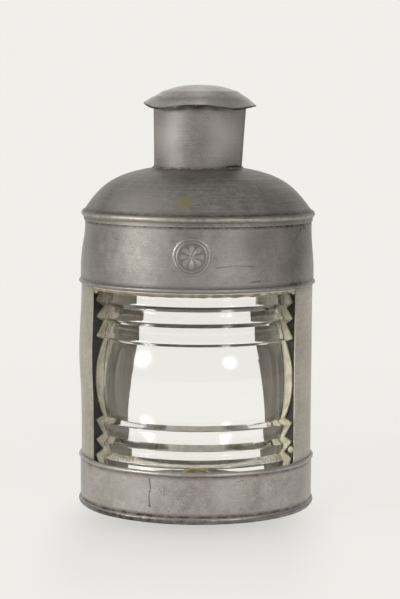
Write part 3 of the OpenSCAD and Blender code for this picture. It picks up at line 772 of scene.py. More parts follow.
RECIPES: dict[str, "TinFinish | MottledFinish | GlassFinish | WickFinish"] = {
    # Walls and door: plain dull sheet, evenly clouded
    "shell": TinFinish("tinned sheet, dull grey", "#ADA699", "#C0B9AC", "#989185", "#4A443C", "#DCD8CE"),
    # Base: handled most, so warm in tone, pitted, stained in large patches, with painted highlights left and
    # right of the front, painted shade at both sides, and scored with dark lines
    "base": TinFinish(
        "tinned sheet, warm and handled", "#ABA59F", "#BFB9B3", "#948E88", "#453E36", "#C6BFB8",
        cloud=22.0, patch=7.0, pit=2.6, pit_spread=0.34, streaks=0.25,
        stains=(
            Stain((-62, -74, 24), 24, "#A39C92", 0.5), Stain((-84, -46, 36), 9, "#8A6F4C", 0.4),
            # The pale stains in front are painted highlights, and the dark ones at the sides are painted
            # shade
            Stain((26, -92, 24), 22, "#C9C4BE", 0.5), Stain((88, -40, 24), 24, "#8F8981", 0.5),
            Stain((-39, -87, 24), 26, "#C9C5C1", 0.45), Stain((-93, -25, 22), 24, "#958F86", 0.5)),
        scores=(
            Score((250.0, 36.0), (250.7, 27.0), 0.8, 0.9), Score((250.7, 28.5), (249.8, 20.0), 0.7, 0.8),
            Score((249.8, 21.5), (250.3, 13.0), 0.9, 0.8), Score((249.0, 25.0), (251.4, 24.4), 0.5, 0.5),
            Score((257.5, 30.0), (257.6, 22.0), 0.45, 0.5), Score((249.6, 14.0), (251.0, 12.6), 1.1, 0.8),
            Score((292.0, 33.0), (296.0, 34.5), 0.5, 0.6))),
    # Upper band: darker and scuffed, with painted reflections: a paler front and darker patches towards its
    # sides
    "upper": TinFinish(
        "tinned sheet, scuffed", "#8C8782", "#9C9791", "#7A7671", "#35312D", "#A8A39D",
        stains=(
            Stain((-80, -52, 224), 16, "#6E6A65", 0.5), Stain((8, -95, 197), 56, "#A39E98", 0.4),
            Stain((44, -84, 222), 34, "#716C67", 0.6), Stain((-49, -81, 232), 24, "#76716C", 0.4),
            Stain((92, -24, 226), 38, "#55514C", 0.75)),
        scores=(
            Score((281.0, 202.4), (290.0, 204.0), 0.45, 0.75),
            Score((290.0, 204.0), (301.0, 203.0), 0.45, 0.7),
            Score((298.0, 190.5), (304.0, 191.5), 0.9, 0.7),
            Score((228.0, 223.0), (232.0, 222.4), 0.6, 0.6))),
    # Dome: smoke dark and streaked, with one yellow-brown spot, a painted lighter left side and painted shade
    # on the right; its light rubbed colour paints the rim's highlight
    "roof": TinFinish(
        "tinned sheet, smoke dark", "#7F7B74", "#948F88", "#68645E", "#302C28", "#BDB8AD",
        roughness=0.48, streaks=0.5,
        stains=(
            Stain((-6.7, -85.2, 253), 8.5, "#887F5E", 1.6), Stain((-43, -78, 248), 46, "#A5A099", 0.6),
            Stain((69, -58, 248), 42, "#625E58", 0.25))),
    # Chimney: matt from the heat, with painted highlights at its sides, a painted darker middle and painted
    # shadow under the cap
    "chimney": TinFinish(
        "tinned sheet, heat dulled", "#89847F", "#99948E", "#777370", "#38332E", "#99948E", roughness=0.56,
        stains=(
            Stain((25, -27, 302), 30, "#BAB5AF", 0.6), Stain((-29, -23, 302), 24, "#B4AFA9", 0.6),
            Stain((8, -36, 302), 18, "#76716C", 0.5), Stain((-13, -36, 329), 9, "#35302B", 0.8),
            Stain((1, -38, 329), 10, "#35302B", 0.85), Stain((16, -35, 329), 9, "#35302B", 0.8))),
    # Cap: washed by the rain, so paler and shinier, with painted highlights on the crown's crease and on the
    # bent-up lip
    "cap": TinFinish(
        "tinned sheet, rain washed", "#AAA5A0", "#BBB6B0", "#918D88", "#3A3632", "#BBB6B0",
        roughness=0.36, pit_spread=0.3,
        stains=(Stain((3, -29, 336), 16, "#D8D3CD", 0.6), Stain((3, -45, 329), 11, "#D2C9C3", 0.6))),
    # Inside: kept from the weather, so it is still bright
    "inside": TinFinish(
        "tinned sheet, bright inside", "#D2CFC7", "#DEDBD3", "#BDBAB2", "#5A544C", "#DEDBD3",
        metallic=0.4, roughness=0.5),
    # Lens channels: nearly black, as painted shade in the gaps beside the lens, and nearly without shine
    "channel": TinFinish(
        "tinned sheet, darkened_as_shade", "#3B3832", "#494540", "#2E2B27", "#1E1B18", "#494540",
        metallic=0.4, roughness=0.6),
    "glass": GlassFinish(),
    # Putty: matt cream with darker smears, browned where the flame heats it
    "putty": MottledFinish(
        "linseed putty, dry and smeared", "#CBC6B3", "#AFA48B", 0.0, 0.8, 9.0, 1.0, 0.5, soiled="#82735D"),
    # Solder: soft grey metal, dull and lumpy
    "solder": MottledFinish("soft solder, wiped", "#8C8880", "#5C5852", 0.6, 0.6, 3.0, 0.8, 0.4),
    # Iron: dark and half matt, with paler rubbed spots
    "iron": MottledFinish("wrought iron, rubbed", "#6B6762", "#423F3B", 0.7, 0.52, 4.0, 0.7, 0.3),
    # Brass: pale yellow and shiny, with broad brown clouds of tarnish
    "brass": MottledFinish("drawn brass, tarnished", "#D2BD88", "#A9925C", 0.9, 0.36, 9.0, 0.9, 0.15),
    "wick": WickFinish(),
}


@dataclass
class Finishes:
    """Every material of the lantern, built once."""

    shell: Material
    base: Material
    upper: Material
    roof: Material
    chimney: Material
    cap: Material
    inside: Material
    channel: Material
    glass: Material
    putty: Material
    solder: Material
    iron: Material
    brass: Material
    wick: Material

    @staticmethod
    def made() -> "Finishes":
        """Builds all finishes from their recipes."""
        return Finishes(**{name: recipe.build() for name, recipe in RECIPES.items()})


@dataclass
class TinBody:
    """Base band, shell with window and doorway, and upper band, all in thin sheet."""

    body_r: float = 95.0
    sheet: float = 0.8
    base_h: float = 41.5
    window_h: float = 141.0
    upper_h: float = 57.0
    shell_lap: float = 15.0
    taper: float = 1.6
    bead_h: float = 3.8
    bead_out: float = 1.4
    foot_h: float = 5.5
    foot_out: float = 1.5
    skirt_h: float = 5.5
    window_half: float = 58.8
    window_drop: float = 7.5
    doorway_half: float = 41.5
    doorway_turn: float = 2.5
    doorway_inset: float = 6.0
    hole_d: float = 5.0
    hole_z: float = 14.0
    hole_step: float = 10.0
    holes: int = 9
    drill_past: float = 2.0
    row_step: float = 3.0
    column_step: float = 1.5
    # The sheet is undented behind, within calm_half of the middle, and fully dented a calm_edge further round
    calm_half: float = 50.0
    calm_edge: float = 30.0
    wave_out: float = 0.22
    wave_run: float = 97.0
    wave_start: float = 0.6
    # Inside, the shell has painted shade near the doorway and painted light towards the lens and from
    # bright_z up
    inner_painted_shade: float = -0.45
    fore_painted_light: float = 1.6
    fore_from: float = 75.0
    fore_over: float = 35.0
    high_painted_light: float = 1.5
    bright_z: float = 118.0
    bright_over: float = 12.0
    # A darker patch on the foot's left front, and painted shade down the upper band's right side, for a
    # darker reflection
    foot_dark_left: Spot = Spot(238.0, 2.75, 22.0, 3.0, -0.8)
    side_reflection_shade: Spot = Spot(327.0, 0.0, 8.5, ENDLESS, -0.62)
    dents: tuple[Spot, ...] = (
        Spot(196.0, 128.0, 20.0, 34.0, 2.6),
        Spot(345.0, 120.0, 12.0, 40.0, 0.5),
        Spot(222.0, 222.0, 10.0, 14.0, -0.8),
        Spot(183.0, 228.0, 24.0, 15.0, -2.2),
        Spot(357.0, 222.0, 20.0, 16.0, -1.0),
        Spot(318.0, 205.0, 9.0, 12.0, -0.6),
        Spot(300.0, 22.0, 9.0, 10.0, -0.5),
        Spot(236.0, 18.0, 8.0, 9.0, -0.5),
    )
    # Radius, half width and height of the roundel's rings
    roundel_rings: tuple[Point, ...] = ((14.0, 0.55, 0.5), (11.6, 0.4, 0.35))
    roundel_r: float = 15.5
    petal_length: float = 10.2
    petal_sharp: float = 1.2
    boss_r: float = 2.2
    relief_h: float = 0.5
    relief_floor: float = 0.04
    relief_sunk: float = 0.1
    relief_under: float = 0.4

    @property
    def band_r(self) -> float:
        """Outer radius of the bands."""
        return self.body_r + self.sheet

    @property
    def door_mid(self) -> float:
        """Polar angle of the doorway's middle."""
        return REAR + self.doorway_turn

    @property
    def z_upper(self) -> float:
        """Height of the upper band's lower edge."""
        return self.base_h + self.window_h

    @property
    def z_roof(self) -> float:
        """Height of the upper band's top."""
        return self.z_upper + self.upper_h

    @property
    def drawn_in(self) -> tuple[float, float]:
        """Heights between which the upper band is drawn in, from the shell's end to the skirt."""
        return self.z_upper + self.shell_lap, self.z_roof - self.skirt_h

    def push(self, angle: Array, z: Array) -> Array:
        """Adds up the dents and a slow ripple, which fade out towards the hinges and the catch behind.

        Args:
            angle: polar angles.
            z: heights.
        Returns:
            How far the sheet stands out.
        """
        calm = np.clip((np.abs(angle_off(angle, REAR)) - self.calm_half) / self.calm_edge, 0, 1)
        wave = around(angle, 5) * np.sin(np.pi * z / self.wave_run + self.wave_start) * self.wave_out
        return (sum(dent.at(angle, z) for dent in self.dents) + wave) * calm

    def dented(self, solid: Solid) -> Solid:
        """Pushes a solid's points in and out along the radius, the same on both faces of the sheet."""
        r, angle, z = polar(solid.points)
        return Solid(from_polar(r + self.push(angle, z), angle, z), solid.faces, solid.wear_and_shade)

    def band_at(self, z: Array) -> Array:
        """Gives the upper band's outer radius: straight up to the shell's end, then drawn in to the skirt."""
        start, end = self.drawn_in
        return self.band_r - self.taper * np.clip((z - start) / (end - start), 0, 1)

    def base_band(self) -> Solid:
        """Turns the base band with its rolled foot and top bead.

        Returns:
            The dented band.
        """
        bead_z = self.base_h - self.bead_h
        outline = np.concatenate([
            [[self.body_r, 0]],
            bead(self.band_r, 0, self.foot_h, self.foot_out),
            bead(self.band_r, bead_z, self.bead_h, self.bead_out),
            [[self.body_r, self.base_h]],
        ])
        # Painted shade over the foot, under the foot's lower edge and under and over the top bead, a painted
        # highlight on the bead's crest, and the foot roll darker along its middle
        lines = (
            (self.foot_h + 0.3, 0.9, -1.3), (self.foot_h / 2, 1.4, -0.8), (0.2, 1.0, -1.2),
            (bead_z - 0.3, 0.8, -1.1), (self.base_h - self.bead_h / 2, 1.0, 0.2), (self.base_h, 0.7, -0.5))
        return self.dented(turned(fine(outline, self.row_step)).shaded_and_worn(lines, (self.foot_dark_left,)))

    def drill(self, band: bpy.types.Object) -> None:
        """Cuts the rear air holes through the base band, with a row of round rods.

        Args:
            band: the finished band.
        """
        turn = np.linspace(0, 2 * np.pi, 32, endpoint=False)
        circle = np.stack([np.cos(turn), np.sin(turn)], axis=1) * self.hole_d / 2
        i = np.arange(len(turn))
        walls = np.stack([i, np.roll(i, -1), np.roll(i, -1) + len(i), i + len(i)], axis=1).tolist()
        faces = walls + [i[::-1].tolist(), (i + len(i)).tolist()]
        rods = []
        for place in REAR + (np.arange(self.holes) - (self.holes - 1) / 2) * self.hole_step:
            out, side = from_polar(1.0, place, 0.0), from_polar(1.0, place + 90, 0.0)
            ring = circle[:, :1] * side + circle[:, 1:] * np.array([0, 0, 1]) + np.array([0, 0, self.hole_z])
            ends = [ring + out * r for r in (self.body_r - self.drill_past, self.band_r + self.drill_past)]
            rods.append(Solid(np.concatenate(ends), faces, np.zeros(2 * len(i))))
        rods = Solid.joined(rods)
        cutter = plain_object("air_hole_cutter", rods.points, rods.faces)
        cut = band.modifiers.new("air_holes", "BOOLEAN")
        cut.operation = "DIFFERENCE"
        cut.solver = "EXACT"
        cut.object = cutter
        graph = bpy.context.evaluated_depsgraph_get()
        drilled = bpy.data.meshes.new_from_object(band.evaluated_get(graph))
        band.modifiers.clear()
        band.data = drilled
        bpy.data.objects.remove(cutter)

    def shell(self) -> Solid:
        """Makes the shell as a pierced ring, with grid lines on the edges of the window and the doorway.

        Returns:
            The dented shell.
        """
        edges = np.array([
            self.door_mid - self.doorway_half, self.door_mid + self.doorway_half,
            FRONT - self.window_half, FRONT + self.window_half, self.door_mid - self.doorway_half + 360,
        ])
        levels = np.array([
            self.base_h - self.shell_lap, self.base_h - self.window_drop, self.base_h + self.doorway_inset,
            self.z_upper - self.doorway_inset, self.z_upper, self.z_upper + self.shell_lap,
        ])
        angles = spaced(edges, self.column_step)
        heights = np.append(spaced(levels, self.row_step), levels[-1])
        columns = (angles + (np.roll(angles, -1) - angles) % 360 / 2)[None, :]
        rows = ((heights[:-1] + heights[1:]) / 2)[:, None]
        window, doorway = (
            (np.abs(angle_off(columns, middle)) < half) & (rows > low) & (rows < high)
            for middle, half, low, high in (
                (FRONT, self.window_half, levels[1], levels[4]),
                (self.door_mid, self.doorway_half, levels[2], levels[3])))
        ring = pierced_ring(self.body_r - self.sheet, self.body_r, angles, heights, ~(window | doorway))
        # Painted shade on the shell just above the base band and just under the upper band
        marked = ring.shaded_and_worn(((self.base_h + 0.8, 1.6, -0.5), (self.z_upper - 0.8, 2.2, -0.6)))
        r, angle, z = polar(marked.points)
        fore = np.clip((np.abs(angle_off(angle, self.door_mid)) - self.fore_from) / self.fore_over, 0, 1)
        high = np.clip((z - self.bright_z) / self.bright_over, 0, 1)
        # Inside: painted shade all over, with painted light towards the lens and from bright_z up
        inside = self.inner_painted_shade + self.fore_painted_light * fore + self.high_painted_light * high
        marked.wear_and_shade += np.where(r < self.body_r - self.sheet / 2, inside, 0)
        return self.dented(marked)

    def upper_band(self) -> Solid:
        """Turns the upper band with the bead at its lower edge and its drawn-in top.

        Returns:
            The dented band.
        """
        start, end = self.drawn_in
        top_r = self.body_r - self.taper
        outline = np.concatenate([
            [[self.body_r, self.z_upper]],
            bead(self.band_r, self.z_upper, self.bead_h, self.bead_out),
            [[self.band_r, start], [self.band_r - self.taper, end], [self.band_r - self.taper, self.z_roof],
             [top_r, self.z_roof], [top_r, end], [self.body_r, start]],
        ])
        # Painted shade over and under the bead, a painted shadow under the skirt, and a painted highlight on
        # the bead's crest
        lines = (
            (self.z_upper + self.bead_h + 0.4, 1.0, -0.9), (self.z_upper + self.bead_h / 2, 1.3, 0.5),
            (self.z_upper, 0.8, -0.7), (end - 0.5, 1.0, -1.7))
        return self.dented(turned(fine(outline, self.row_step)).shaded_and_worn(lines, (self.side_reflection_shade,)))

    def roundel(self) -> Solid:
        """Draws a stamped roundel on the upper band: two plain rings round a rosette of eight petals.

        The relief is a height over a disc of radius p and turn t: bell-shaped rings, and petals of
        cos squared(4 t) times sin(pi p / petal length). Its underside lies inside the sheet.

        Returns:
            The closed relief.
        """
        rows, columns = 44, 160
        p = np.linspace(0, self.roundel_r, rows)[:, None]
        t = np.linspace(0, 360, columns, endpoint=False)[None, :]
        rings = [high * bell(p - radius, width) for radius, width, high in self.roundel_rings]
        spread = np.sin(np.pi * np.clip(p / self.petal_length, 0, 1)) ** self.petal_sharp
        petals = self.relief_h * np.cos(np.radians(4 * t)) ** 2 * spread
        boss = self.relief_h * np.clip(1 - (p / self.boss_r) ** 2, 0, 1)
        relief = np.maximum.reduce(np.broadcast_arrays(*rings, petals, boss)) + self.relief_floor
        relief = np.where(p >= self.roundel_r - 0.01, -self.relief_sunk, relief)
        z = self.z_upper + self.upper_h / 2 + p * np.sin(np.radians(t))
        angle = FRONT + np.degrees(p * np.cos(np.radians(t)) / self.band_r)
        r = self.band_at(z) + self.push(angle, z)
        size = rows * columns
        points = [from_polar(r + up, angle, z).reshape(-1, 3) for up in (relief, -self.relief_under)]
        quads = disc_quads(rows, columns)
        rim = np.arange(size - columns, size)
        wall = np.stack([rim, rim + size, np.roll(rim, -1) + size, np.roll(rim, -1)], axis=1)
        faces = quads.tolist() + (quads[:, ::-1] + size).tolist() + wall.tolist()
        # The ground between the raised forms is painted darker, as shade in the recesses, and their tops are
        # a little rubbed
        deep = np.clip((0.22 - relief) * 4, -0.35, 1)
        wear_and_shade = np.concatenate([-0.75 * deep.reshape(-1), np.zeros(size)])
        return Solid(np.concatenate(points), faces, wear_and_shade)

    def build(self, looks: Finishes) -> None:
        """Builds and dresses the body.

        Args:
            looks: the materials.
        """
        where = (Body.LANTERN, "sheet_tin")
        self.drill(add_piece("tin_base_band", self.base_band(), looks.base, *where, ("base_band",)))
        add_piece("tin_shell", self.shell(), looks.shell, *where, ("body_shell",))
        add_piece("tin_upper_band", self.upper_band(), looks.upper, *where, ("upper_band",))
        add_piece("stamped_roundel", self.roundel(), looks.upper, *where, sharp=60.0)
        dress(("bottom_plate", "font_ring", "upper_lens_seat", "lower_lens_seat"), looks.inside)
        dress(("lens_channels",), looks.channel)


@dataclass
class Roof:
    """Domed roof with rolled rim, chimney, bent cap and the solder between them."""

    body: TinBody
    rim_h: float = 5.4
    rim_out: float = 1.6
    dome_step: float = 1.2
    dome_rise: float = 34.5
    dome_late: float = 0.35
    dome_power: float = 4.5
    dome_sag: float = 0.5
    chimney_r: float = 36.0
    chimney_flare: float = 2.0
    chimney_h: float = 51.0
    chimney_lap: float = 5.0
    chimney_lean: float = 1.3
    # Polar angles of the painted shade down both sides of the tube
    chimney_shaded_sides: tuple[float, ...] = (189.0, 347.0)
    chimney_dents: float = 0.3
    row_step: float = 1.2
    cap_r: float = 46.0
    cap_rise: float = 16.0
    cap_fullness: float = 2.5
    brim_lift: float = 0.4
    # Place (as a share of the radius), half width and height of the cap's crease
    crease: Point = (0.66, 2.4, 0.55)
    # Share of the radius at which the brim's bends begin
    brim_from: float = 0.72
    brim_wave: float = 0.2
    # Polar angle, half width and lift of each bend
    brim_bends: tuple[Point, ...] = (
        (180.0, 24.0, 1.6), (229.0, 24.0, -3.2), (312.0, 24.0, -3.4), (40.0, 40.0, -1.2), (120.0, 40.0, -0.8))
    # Share of the radius, half width and amount of the cap's dark rings: painted shade along the brim's edge
    # and a broader darker ring inside it
    cap_dark_rings: tuple[Point, ...] = ((1.0, 0.4, -2.0), (0.86, 3.0, -0.4))
    solder_out: float = 0.3
    solder_drop: float = 0.1
    solder_r: float = 1.0
    solder_uneven: float = 0.35
    solder_flat: float = 0.9
    # Polar angle, height and size of the solder blobs on the skirt
    blobs: tuple[Point, ...] = ((337.0, 236.0, 2.2), (337.5, 231.0, 1.7), (334.0, 229.0, 1.2))

    @property
    def skirt_r(self) -> float:
        """Outer radius of the skirt that slips over the upper band."""
        return self.body.band_r - self.body.taper + self.body.sheet

    @property
    def rim_z(self) -> float:
        """Height of the top of the rolled rim."""
        return self.body.z_roof + self.rim_h / 2

    @property
    def dome_top(self) -> float:
        """Height at which the dome meets the chimney."""
        return self.rim_z + self.dome_rise

    @property
    def chimney_top(self) -> float:
        """Height of the chimney's open end."""
        return self.dome_top + self.chimney_h

    def dome_outline(self, depth: float, steps: int = 44) -> Array:
        """Gives the dome's curve, moved inwards along its normal by a depth.

        The squared radius falls by a straight share and a late share of t to a power, where t is the share of
        the rise.

        Args:
            depth: distance inwards.
            steps: steps from foot to chimney.
        Returns:
            Points (r, z) from the foot up.
        """
        foot = self.skirt_r - self.dome_step
        fall = foot ** 2 - self.chimney_r ** 2
        t = 1 - (1 - np.linspace(0, 1, steps + 1)) ** 2
        r = np.sqrt(foot ** 2 - fall * ((1 - self.dome_late) * t + self.dome_late * t ** self.dome_power))
        steep = 1 - self.dome_late + self.dome_late * self.dome_power * t ** (self.dome_power - 1)
        normal = np.stack([r, fall / (2 * self.dome_rise) * steep], axis=1)
        normal /= np.linalg.norm(normal, axis=1, keepdims=True)
        return np.stack([r, self.rim_z + self.dome_rise * t], axis=1) - depth * normal

    def dome(self) -> Solid:
        """Turns the dome with its skirt and rolled rim.

        Returns:
            The slightly uneven dome.
        """
        sheet, z_roof, skirt_h = self.body.sheet, self.body.z_roof, self.body.skirt_h
        outline = np.concatenate([
            [[self.skirt_r - sheet, z_roof - skirt_h], [self.skirt_r, z_roof - skirt_h]],
            bead(self.skirt_r, self.rim_z - self.rim_h, self.rim_h, self.rim_out),
            self.dome_outline(0.0),
            self.dome_outline(sheet)[::-1],
            [[self.skirt_r - sheet - self.dome_step, z_roof], [self.skirt_r - sheet, z_roof]],
        ])
        ring = turned(fine(outline, self.body.row_step))
        r, angle, z = polar(ring.points)
        height = np.clip((z - self.rim_z) / self.dome_rise, 0, 1)
        sag = self.dome_sag * around(angle, 11, highest=7) * np.sin(np.pi * height)
        ring.points = from_polar(r + self.body.push(angle, z) * (1 - height), angle, z + sag)
        # Painted shade in the crease over the rim's roll, under the roll and where the dome meets the
        # chimney, a painted highlight on the roll, and the skirt paler near its lower edge
        return ring.shaded_and_worn((
            (self.rim_z + 0.5, 1.1, -1.1), (self.rim_z - self.rim_h / 2, 1.3, 0.9),
            (self.rim_z - self.rim_h, 0.6, -0.4), (z_roof - skirt_h + 1.0, 1.1, 0.8),
            (self.dome_top, 1.6, -0.6)))

    def chimney(self) -> Solid:
        """Turns the chimney, which widens a little towards its open end.

        Returns:
            The slightly dented tube.
        """
        sheet, top_r = self.body.sheet, self.chimney_r + self.chimney_flare
        outline = np.array([
            [self.chimney_r - sheet, self.dome_top - self.chimney_lap],
            [self.chimney_r, self.dome_top - self.chimney_lap],
            [self.chimney_r, self.dome_top], [top_r, self.chimney_top],
            [top_r - sheet, self.chimney_top], [self.chimney_r - sheet, self.dome_top],
        ])
        ring = turned(fine(outline, self.row_step))
        r, angle, z = polar(ring.points)
        free = np.clip((z - self.dome_top) / self.chimney_h, 0, 1)
        dents = self.chimney_dents * around(angle, 21, highest=6) * np.sin(np.pi * free)
        ring.points = from_polar(r + dents, angle, z)
        # Painted shadow under the cap, a crack in the joint at the foot, painted shade down both sides of the
        # tube, and painted shade where it meets the dome
        spots = (
            Spot(FRONT, self.chimney_top, 28.0, 5.0, -0.5), Spot(328.0, self.dome_top + 1.0, 15.0, 1.2, -4.0),
            *(Spot(at, 0.0, 5.0, ENDLESS, -0.8) for at in self.chimney_shaded_sides))
        return self.leaned(ring.shaded_and_worn(((self.dome_top + 0.4, 1.4, -0.6),), spots))

    def leaned(self, solid: Solid) -> Solid:
        """Leans a piece of the chimney sideways, in step with its height over the dome.

        Args:
            solid: the piece.
        Returns:
            The leaning piece.
        """
        share = np.clip((solid.points[:, 2] - self.dome_top) / self.chimney_h, 0, 1.3)
        shift = share[:, None] * np.array([[self.chimney_lean, 0, 0]])
        return Solid(solid.points + shift, solid.faces, solid.wear_and_shade)

    def cap(self) -> Solid:
        """Turns the cap, z = brim + rise (1 - (r / R)^fullness) with a bell-shaped crease, and bends it.

        Returns:
            The bent cap.
        """
        r = self.cap_r * np.linspace(0, 1, 49)
        place, width, height = self.crease
        crease = height * bell(r - place * self.cap_r, width)
        curve = self.cap_rise * (1 - (r / self.cap_r) ** self.cap_fullness)
        z = self.chimney_top + self.brim_lift + curve + crease
        skins = [np.stack([r, z - depth], axis=1) for depth in (self.body.sheet, 0.0)]
        ring = turned(np.concatenate([skins[0], skins[1][::-1]]))
        r, angle, z = polar(ring.points)
        edge = np.clip((r / self.cap_r - self.brim_from) / (1 - self.brim_from), 0, 1) ** 1.5
        lift = sum(by * bell(angle_off(angle, at), width) for at, width, by in self.brim_bends)
        lift = lift + self.brim_wave * around(angle, 31, highest=9)
        wear_and_shade = sum(amount * bell(r - at * self.cap_r, width) for at, width, amount in self.cap_dark_rings)
        return self.leaned(Solid(from_polar(r, angle, z + edge * lift), ring.faces, wear_and_shade))

    def solder(self) -> Solid:
        """Lays a ragged ring of solder in the corner of dome and chimney, and blobs on the skirt.

        The ring is a small circle carried round the chimney, whose radius swells and shrinks with the angle.

        Returns:
            The ring and the blobs.
        """
        turn = np.linspace(0, 2 * np.pi, 12, endpoint=False)[:, None]
        ring = turned(np.concatenate([np.cos(turn), np.sin(turn)], axis=1))
        thick = self.solder_r + self.solder_uneven * around(ROUND[None, :], 41, waves=12, highest=40)
        r = self.chimney_r + self.solder_out + thick * np.cos(turn)
        z = self.dome_top - self.solder_drop + self.solder_flat * thick * np.sin(turn)
        ring.points = from_polar(r, ROUND[None, :], z).reshape(-1, 3)
        parts = [ring]
        for number, (angle, height, size) in enumerate(self.blobs):
            out = self.body.band_at(np.array(height)) + self.body.push(np.array(angle), np.array(height))
            parts.append(lump(from_polar(out, angle, height), (size * 0.6, size, size), number))
        return Solid.joined(parts)

    def build(self, looks: Finishes) -> None:
        """Builds and dresses the roof.

        Args:
            looks: the materials.
        """
        add_piece("tin_dome", self.dome(), looks.roof, Body.LANTERN, "roof_tin", ("dome",))
        add_piece("tin_chimney", self.chimney(), looks.chimney, Body.LANTERN, "sheet_tin", ("chimney",))
        add_piece("tin_cap", self.cap(), looks.cap, Body.LANTERN, "sheet_tin", ("chimney_cap",))
        add_piece("roof_solder", self.solder(), looks.solder, Body.LANTERN, "roof_tin")
        dress(("cap_straps",), looks.chimney)


@dataclass
class DrumLens:
    """Stepped drum lens of pressed glass in its putty."""

    body: TinBody
    half_angle: float = 60.5
    tip_r: float = 91.0
    step: float = 7.0
    core: float = 8.0
    end_inset: float = 5.0
    seat: float = 1.0
    rises: tuple[float, ...] = (3.0, 4.0, 4.5)
    slopes: tuple[float, ...] = (12.0, 8.5, 10.5)
    tip_round: float = 1.6
    putty: float = 2.0
    putty_h: float = 3.0
    putty_short: float = 0.13
    putty_sag: float = 0.2
    bond: float = 0.3
    browned: float = 0.34
    browned_uneven: float = 0.3
    # Lumps lie this far in from the lens's ends and out from its tips
    lump_turn: float = 1.2
    lump_out: float = 0.6

    @property
    def top(self) -> float:
        """Height of the lens's upper end."""
        return self.body.z_upper - self.seat

    @property
    def bottom(self) -> float:
        """Height of the lens's lower end."""
        return self.body.base_h - self.body.window_drop

    def outline(self, arc_steps: int = 28) -> Array:
        """Gives the lens's outline: a convex belt, saw-toothed rings above and below it, and a straight bore.

        Args:
            arc_steps: steps in half of the belt's arc.
        Returns:
            The closed outline, anticlockwise.
        """
        half_h = (self.top - self.bottom) / 2
        belt = half_h - sum(self.rises) - sum(self.slopes)
        curve = (belt ** 2 + self.step ** 2) / (2 * self.step)
        h = np.linspace(0, belt, arc_steps + 1)
        arc = np.stack([self.tip_r - curve + np.sqrt(curve ** 2 - h ** 2), h], axis=1)
        starts = belt + np.cumsum(np.array(self.rises) + np.array(self.slopes))
        tips = np.stack([np.full_like(starts, self.tip_r), starts - np.array(self.slopes)], axis=1)
        valleys = np.stack([np.full_like(starts, self.tip_r - self.step), starts], axis=1)
        valleys[-1, 0] = self.tip_r - self.end_inset
        rings = np.stack([tips, valleys], axis=1).reshape(-1, 2)
        half = np.concatenate([arc, self.softened(np.concatenate([arc[-1:], rings]))])
        lower = half[:0:-1] * np.array([1, -1])
        bore = self.tip_r - self.step - self.core
        outline = np.concatenate([lower, half, [[bore, half_h], [bore, -half_h]]])
        return outline + np.array([0, half_h + self.bottom])

    def softened(self, corners: Array) -> Array:
        """Rounds each tip by a parabola from one side to the other, as pressing leaves it.

        Args:
            corners: the belt's end, then tips and valleys in turn.
        Returns:
            The rounded run, without the belt's end.
        """
        before, tips, after = corners[:-2:2], corners[1:-1:2], corners[2::2]
        back, ahead = (
            (there - tips) / np.linalg.norm(there - tips, axis=1, keepdims=True) * self.tip_round
            for there in (before, after))
        t = np.linspace(0, 1, 7)[None, :, None]
        bows = tips[:, None] + (1 - t) ** 2 * back[:, None] + t ** 2 * ahead[:, None]
        return np.concatenate([bows, after[:, None]], axis=1).reshape(-1, 2)

    def glass(self) -> Solid:
        """Carries the outline round through the lens's angle."""
        angles = FRONT + np.linspace(-self.half_angle, self.half_angle, 2 * int(self.half_angle) + 1)
        return turned(self.outline(), angles, full=False)

    def bedding(self) -> Solid:
        """Carries the putty fillets along both ends of the lens, with side beds and lumps at the corners.

        The fillets' free edges are rippled up and down by up to half a millimetre, as pressed in by thumb.
        The side beds have the lens's own outline, a bond's depth smaller, and reach that depth into the
        glass, so that the ends look wetted by the putty.

        Returns:
            All the putty.
        """
        slope = self.end_inset / self.slopes[-1]
        end_r = self.tip_r - self.end_inset
        shell_r = self.body.body_r - self.body.sheet
        reach = self.half_angle - self.putty_short
        parts = []
        for up, z in ((1, self.top), (-1, self.bottom)):
            corners = np.array([
                [end_r, z], [shell_r, z], [shell_r, z - up * self.putty_h / 2],
                [end_r + slope * self.putty_h, z - up * self.putty_h]])
            outline = fine(corners[::-1] if up > 0 else corners, 1.0)
            fillet = turned(outline, FRONT + np.linspace(-reach, reach, 160), full=False)
            r, angle, height = polar(fillet.points)
            loose = np.clip(np.abs(height - z) / self.putty_h, 0, 1)
            wave = around(angle, 51 + up, waves=14, highest=70)
            fillet.points = from_polar(r, angle, height - up * loose * self.putty_sag * (1 + wave))
            # Only the upper fillet is browned, where the heat rises
            fillet.wear_and_shade = -self.browned * (1 + self.browned_uneven * wave) * (up > 0)
            parts.append(fillet)
        thick, sunk = (math.degrees(depth / self.tip_r) for depth in (self.putty, self.bond))
        outline = self.outline()
        middle = (outline.min(axis=0) + outline.max(axis=0)) / 2
        bed = middle + (outline - middle) * (1 - 2 * self.bond / np.ptp(outline, axis=0))
        for side in (-1, 1):
            ends = sorted(FRONT + side * (self.half_angle + by) for by in (-sunk, thick))
            parts.append(turned(bed, np.linspace(*ends, 4), full=False))
        # Side, height and size of each lump
        lumps = ((-1, self.top - 2.0, 2.6), (1, self.top - 1.5, 2.2), (1, self.bottom + 18.0, 2.7))
        for number, (side, z, size) in enumerate(lumps):
            angle = FRONT + side * (self.half_angle - self.lump_turn)
            place = from_polar(self.tip_r + self.lump_out, angle, z)
            parts.append(lump(place, (size * 0.9, size * 0.8, size), number + 3))
        return Solid.joined(parts)

    def build(self, looks: Finishes) -> None:
        """Builds and dresses the lens.

        Args:
            looks: the materials.
        """
        lens = add_piece(
            "glass_drum_lens", self.glass(), looks.glass, Body.LANTERN, "lens_glass", ("lens",), sharp=25.0)
        # Clear glass lets the lamps' light through to the putty and the inside, so it casts no shadow
        lens.visible_shadow = False
        add_piece("lens_bedding", self.bedding(), looks.putty, Body.LANTERN, "glazing_putty", ("lens_putty",))


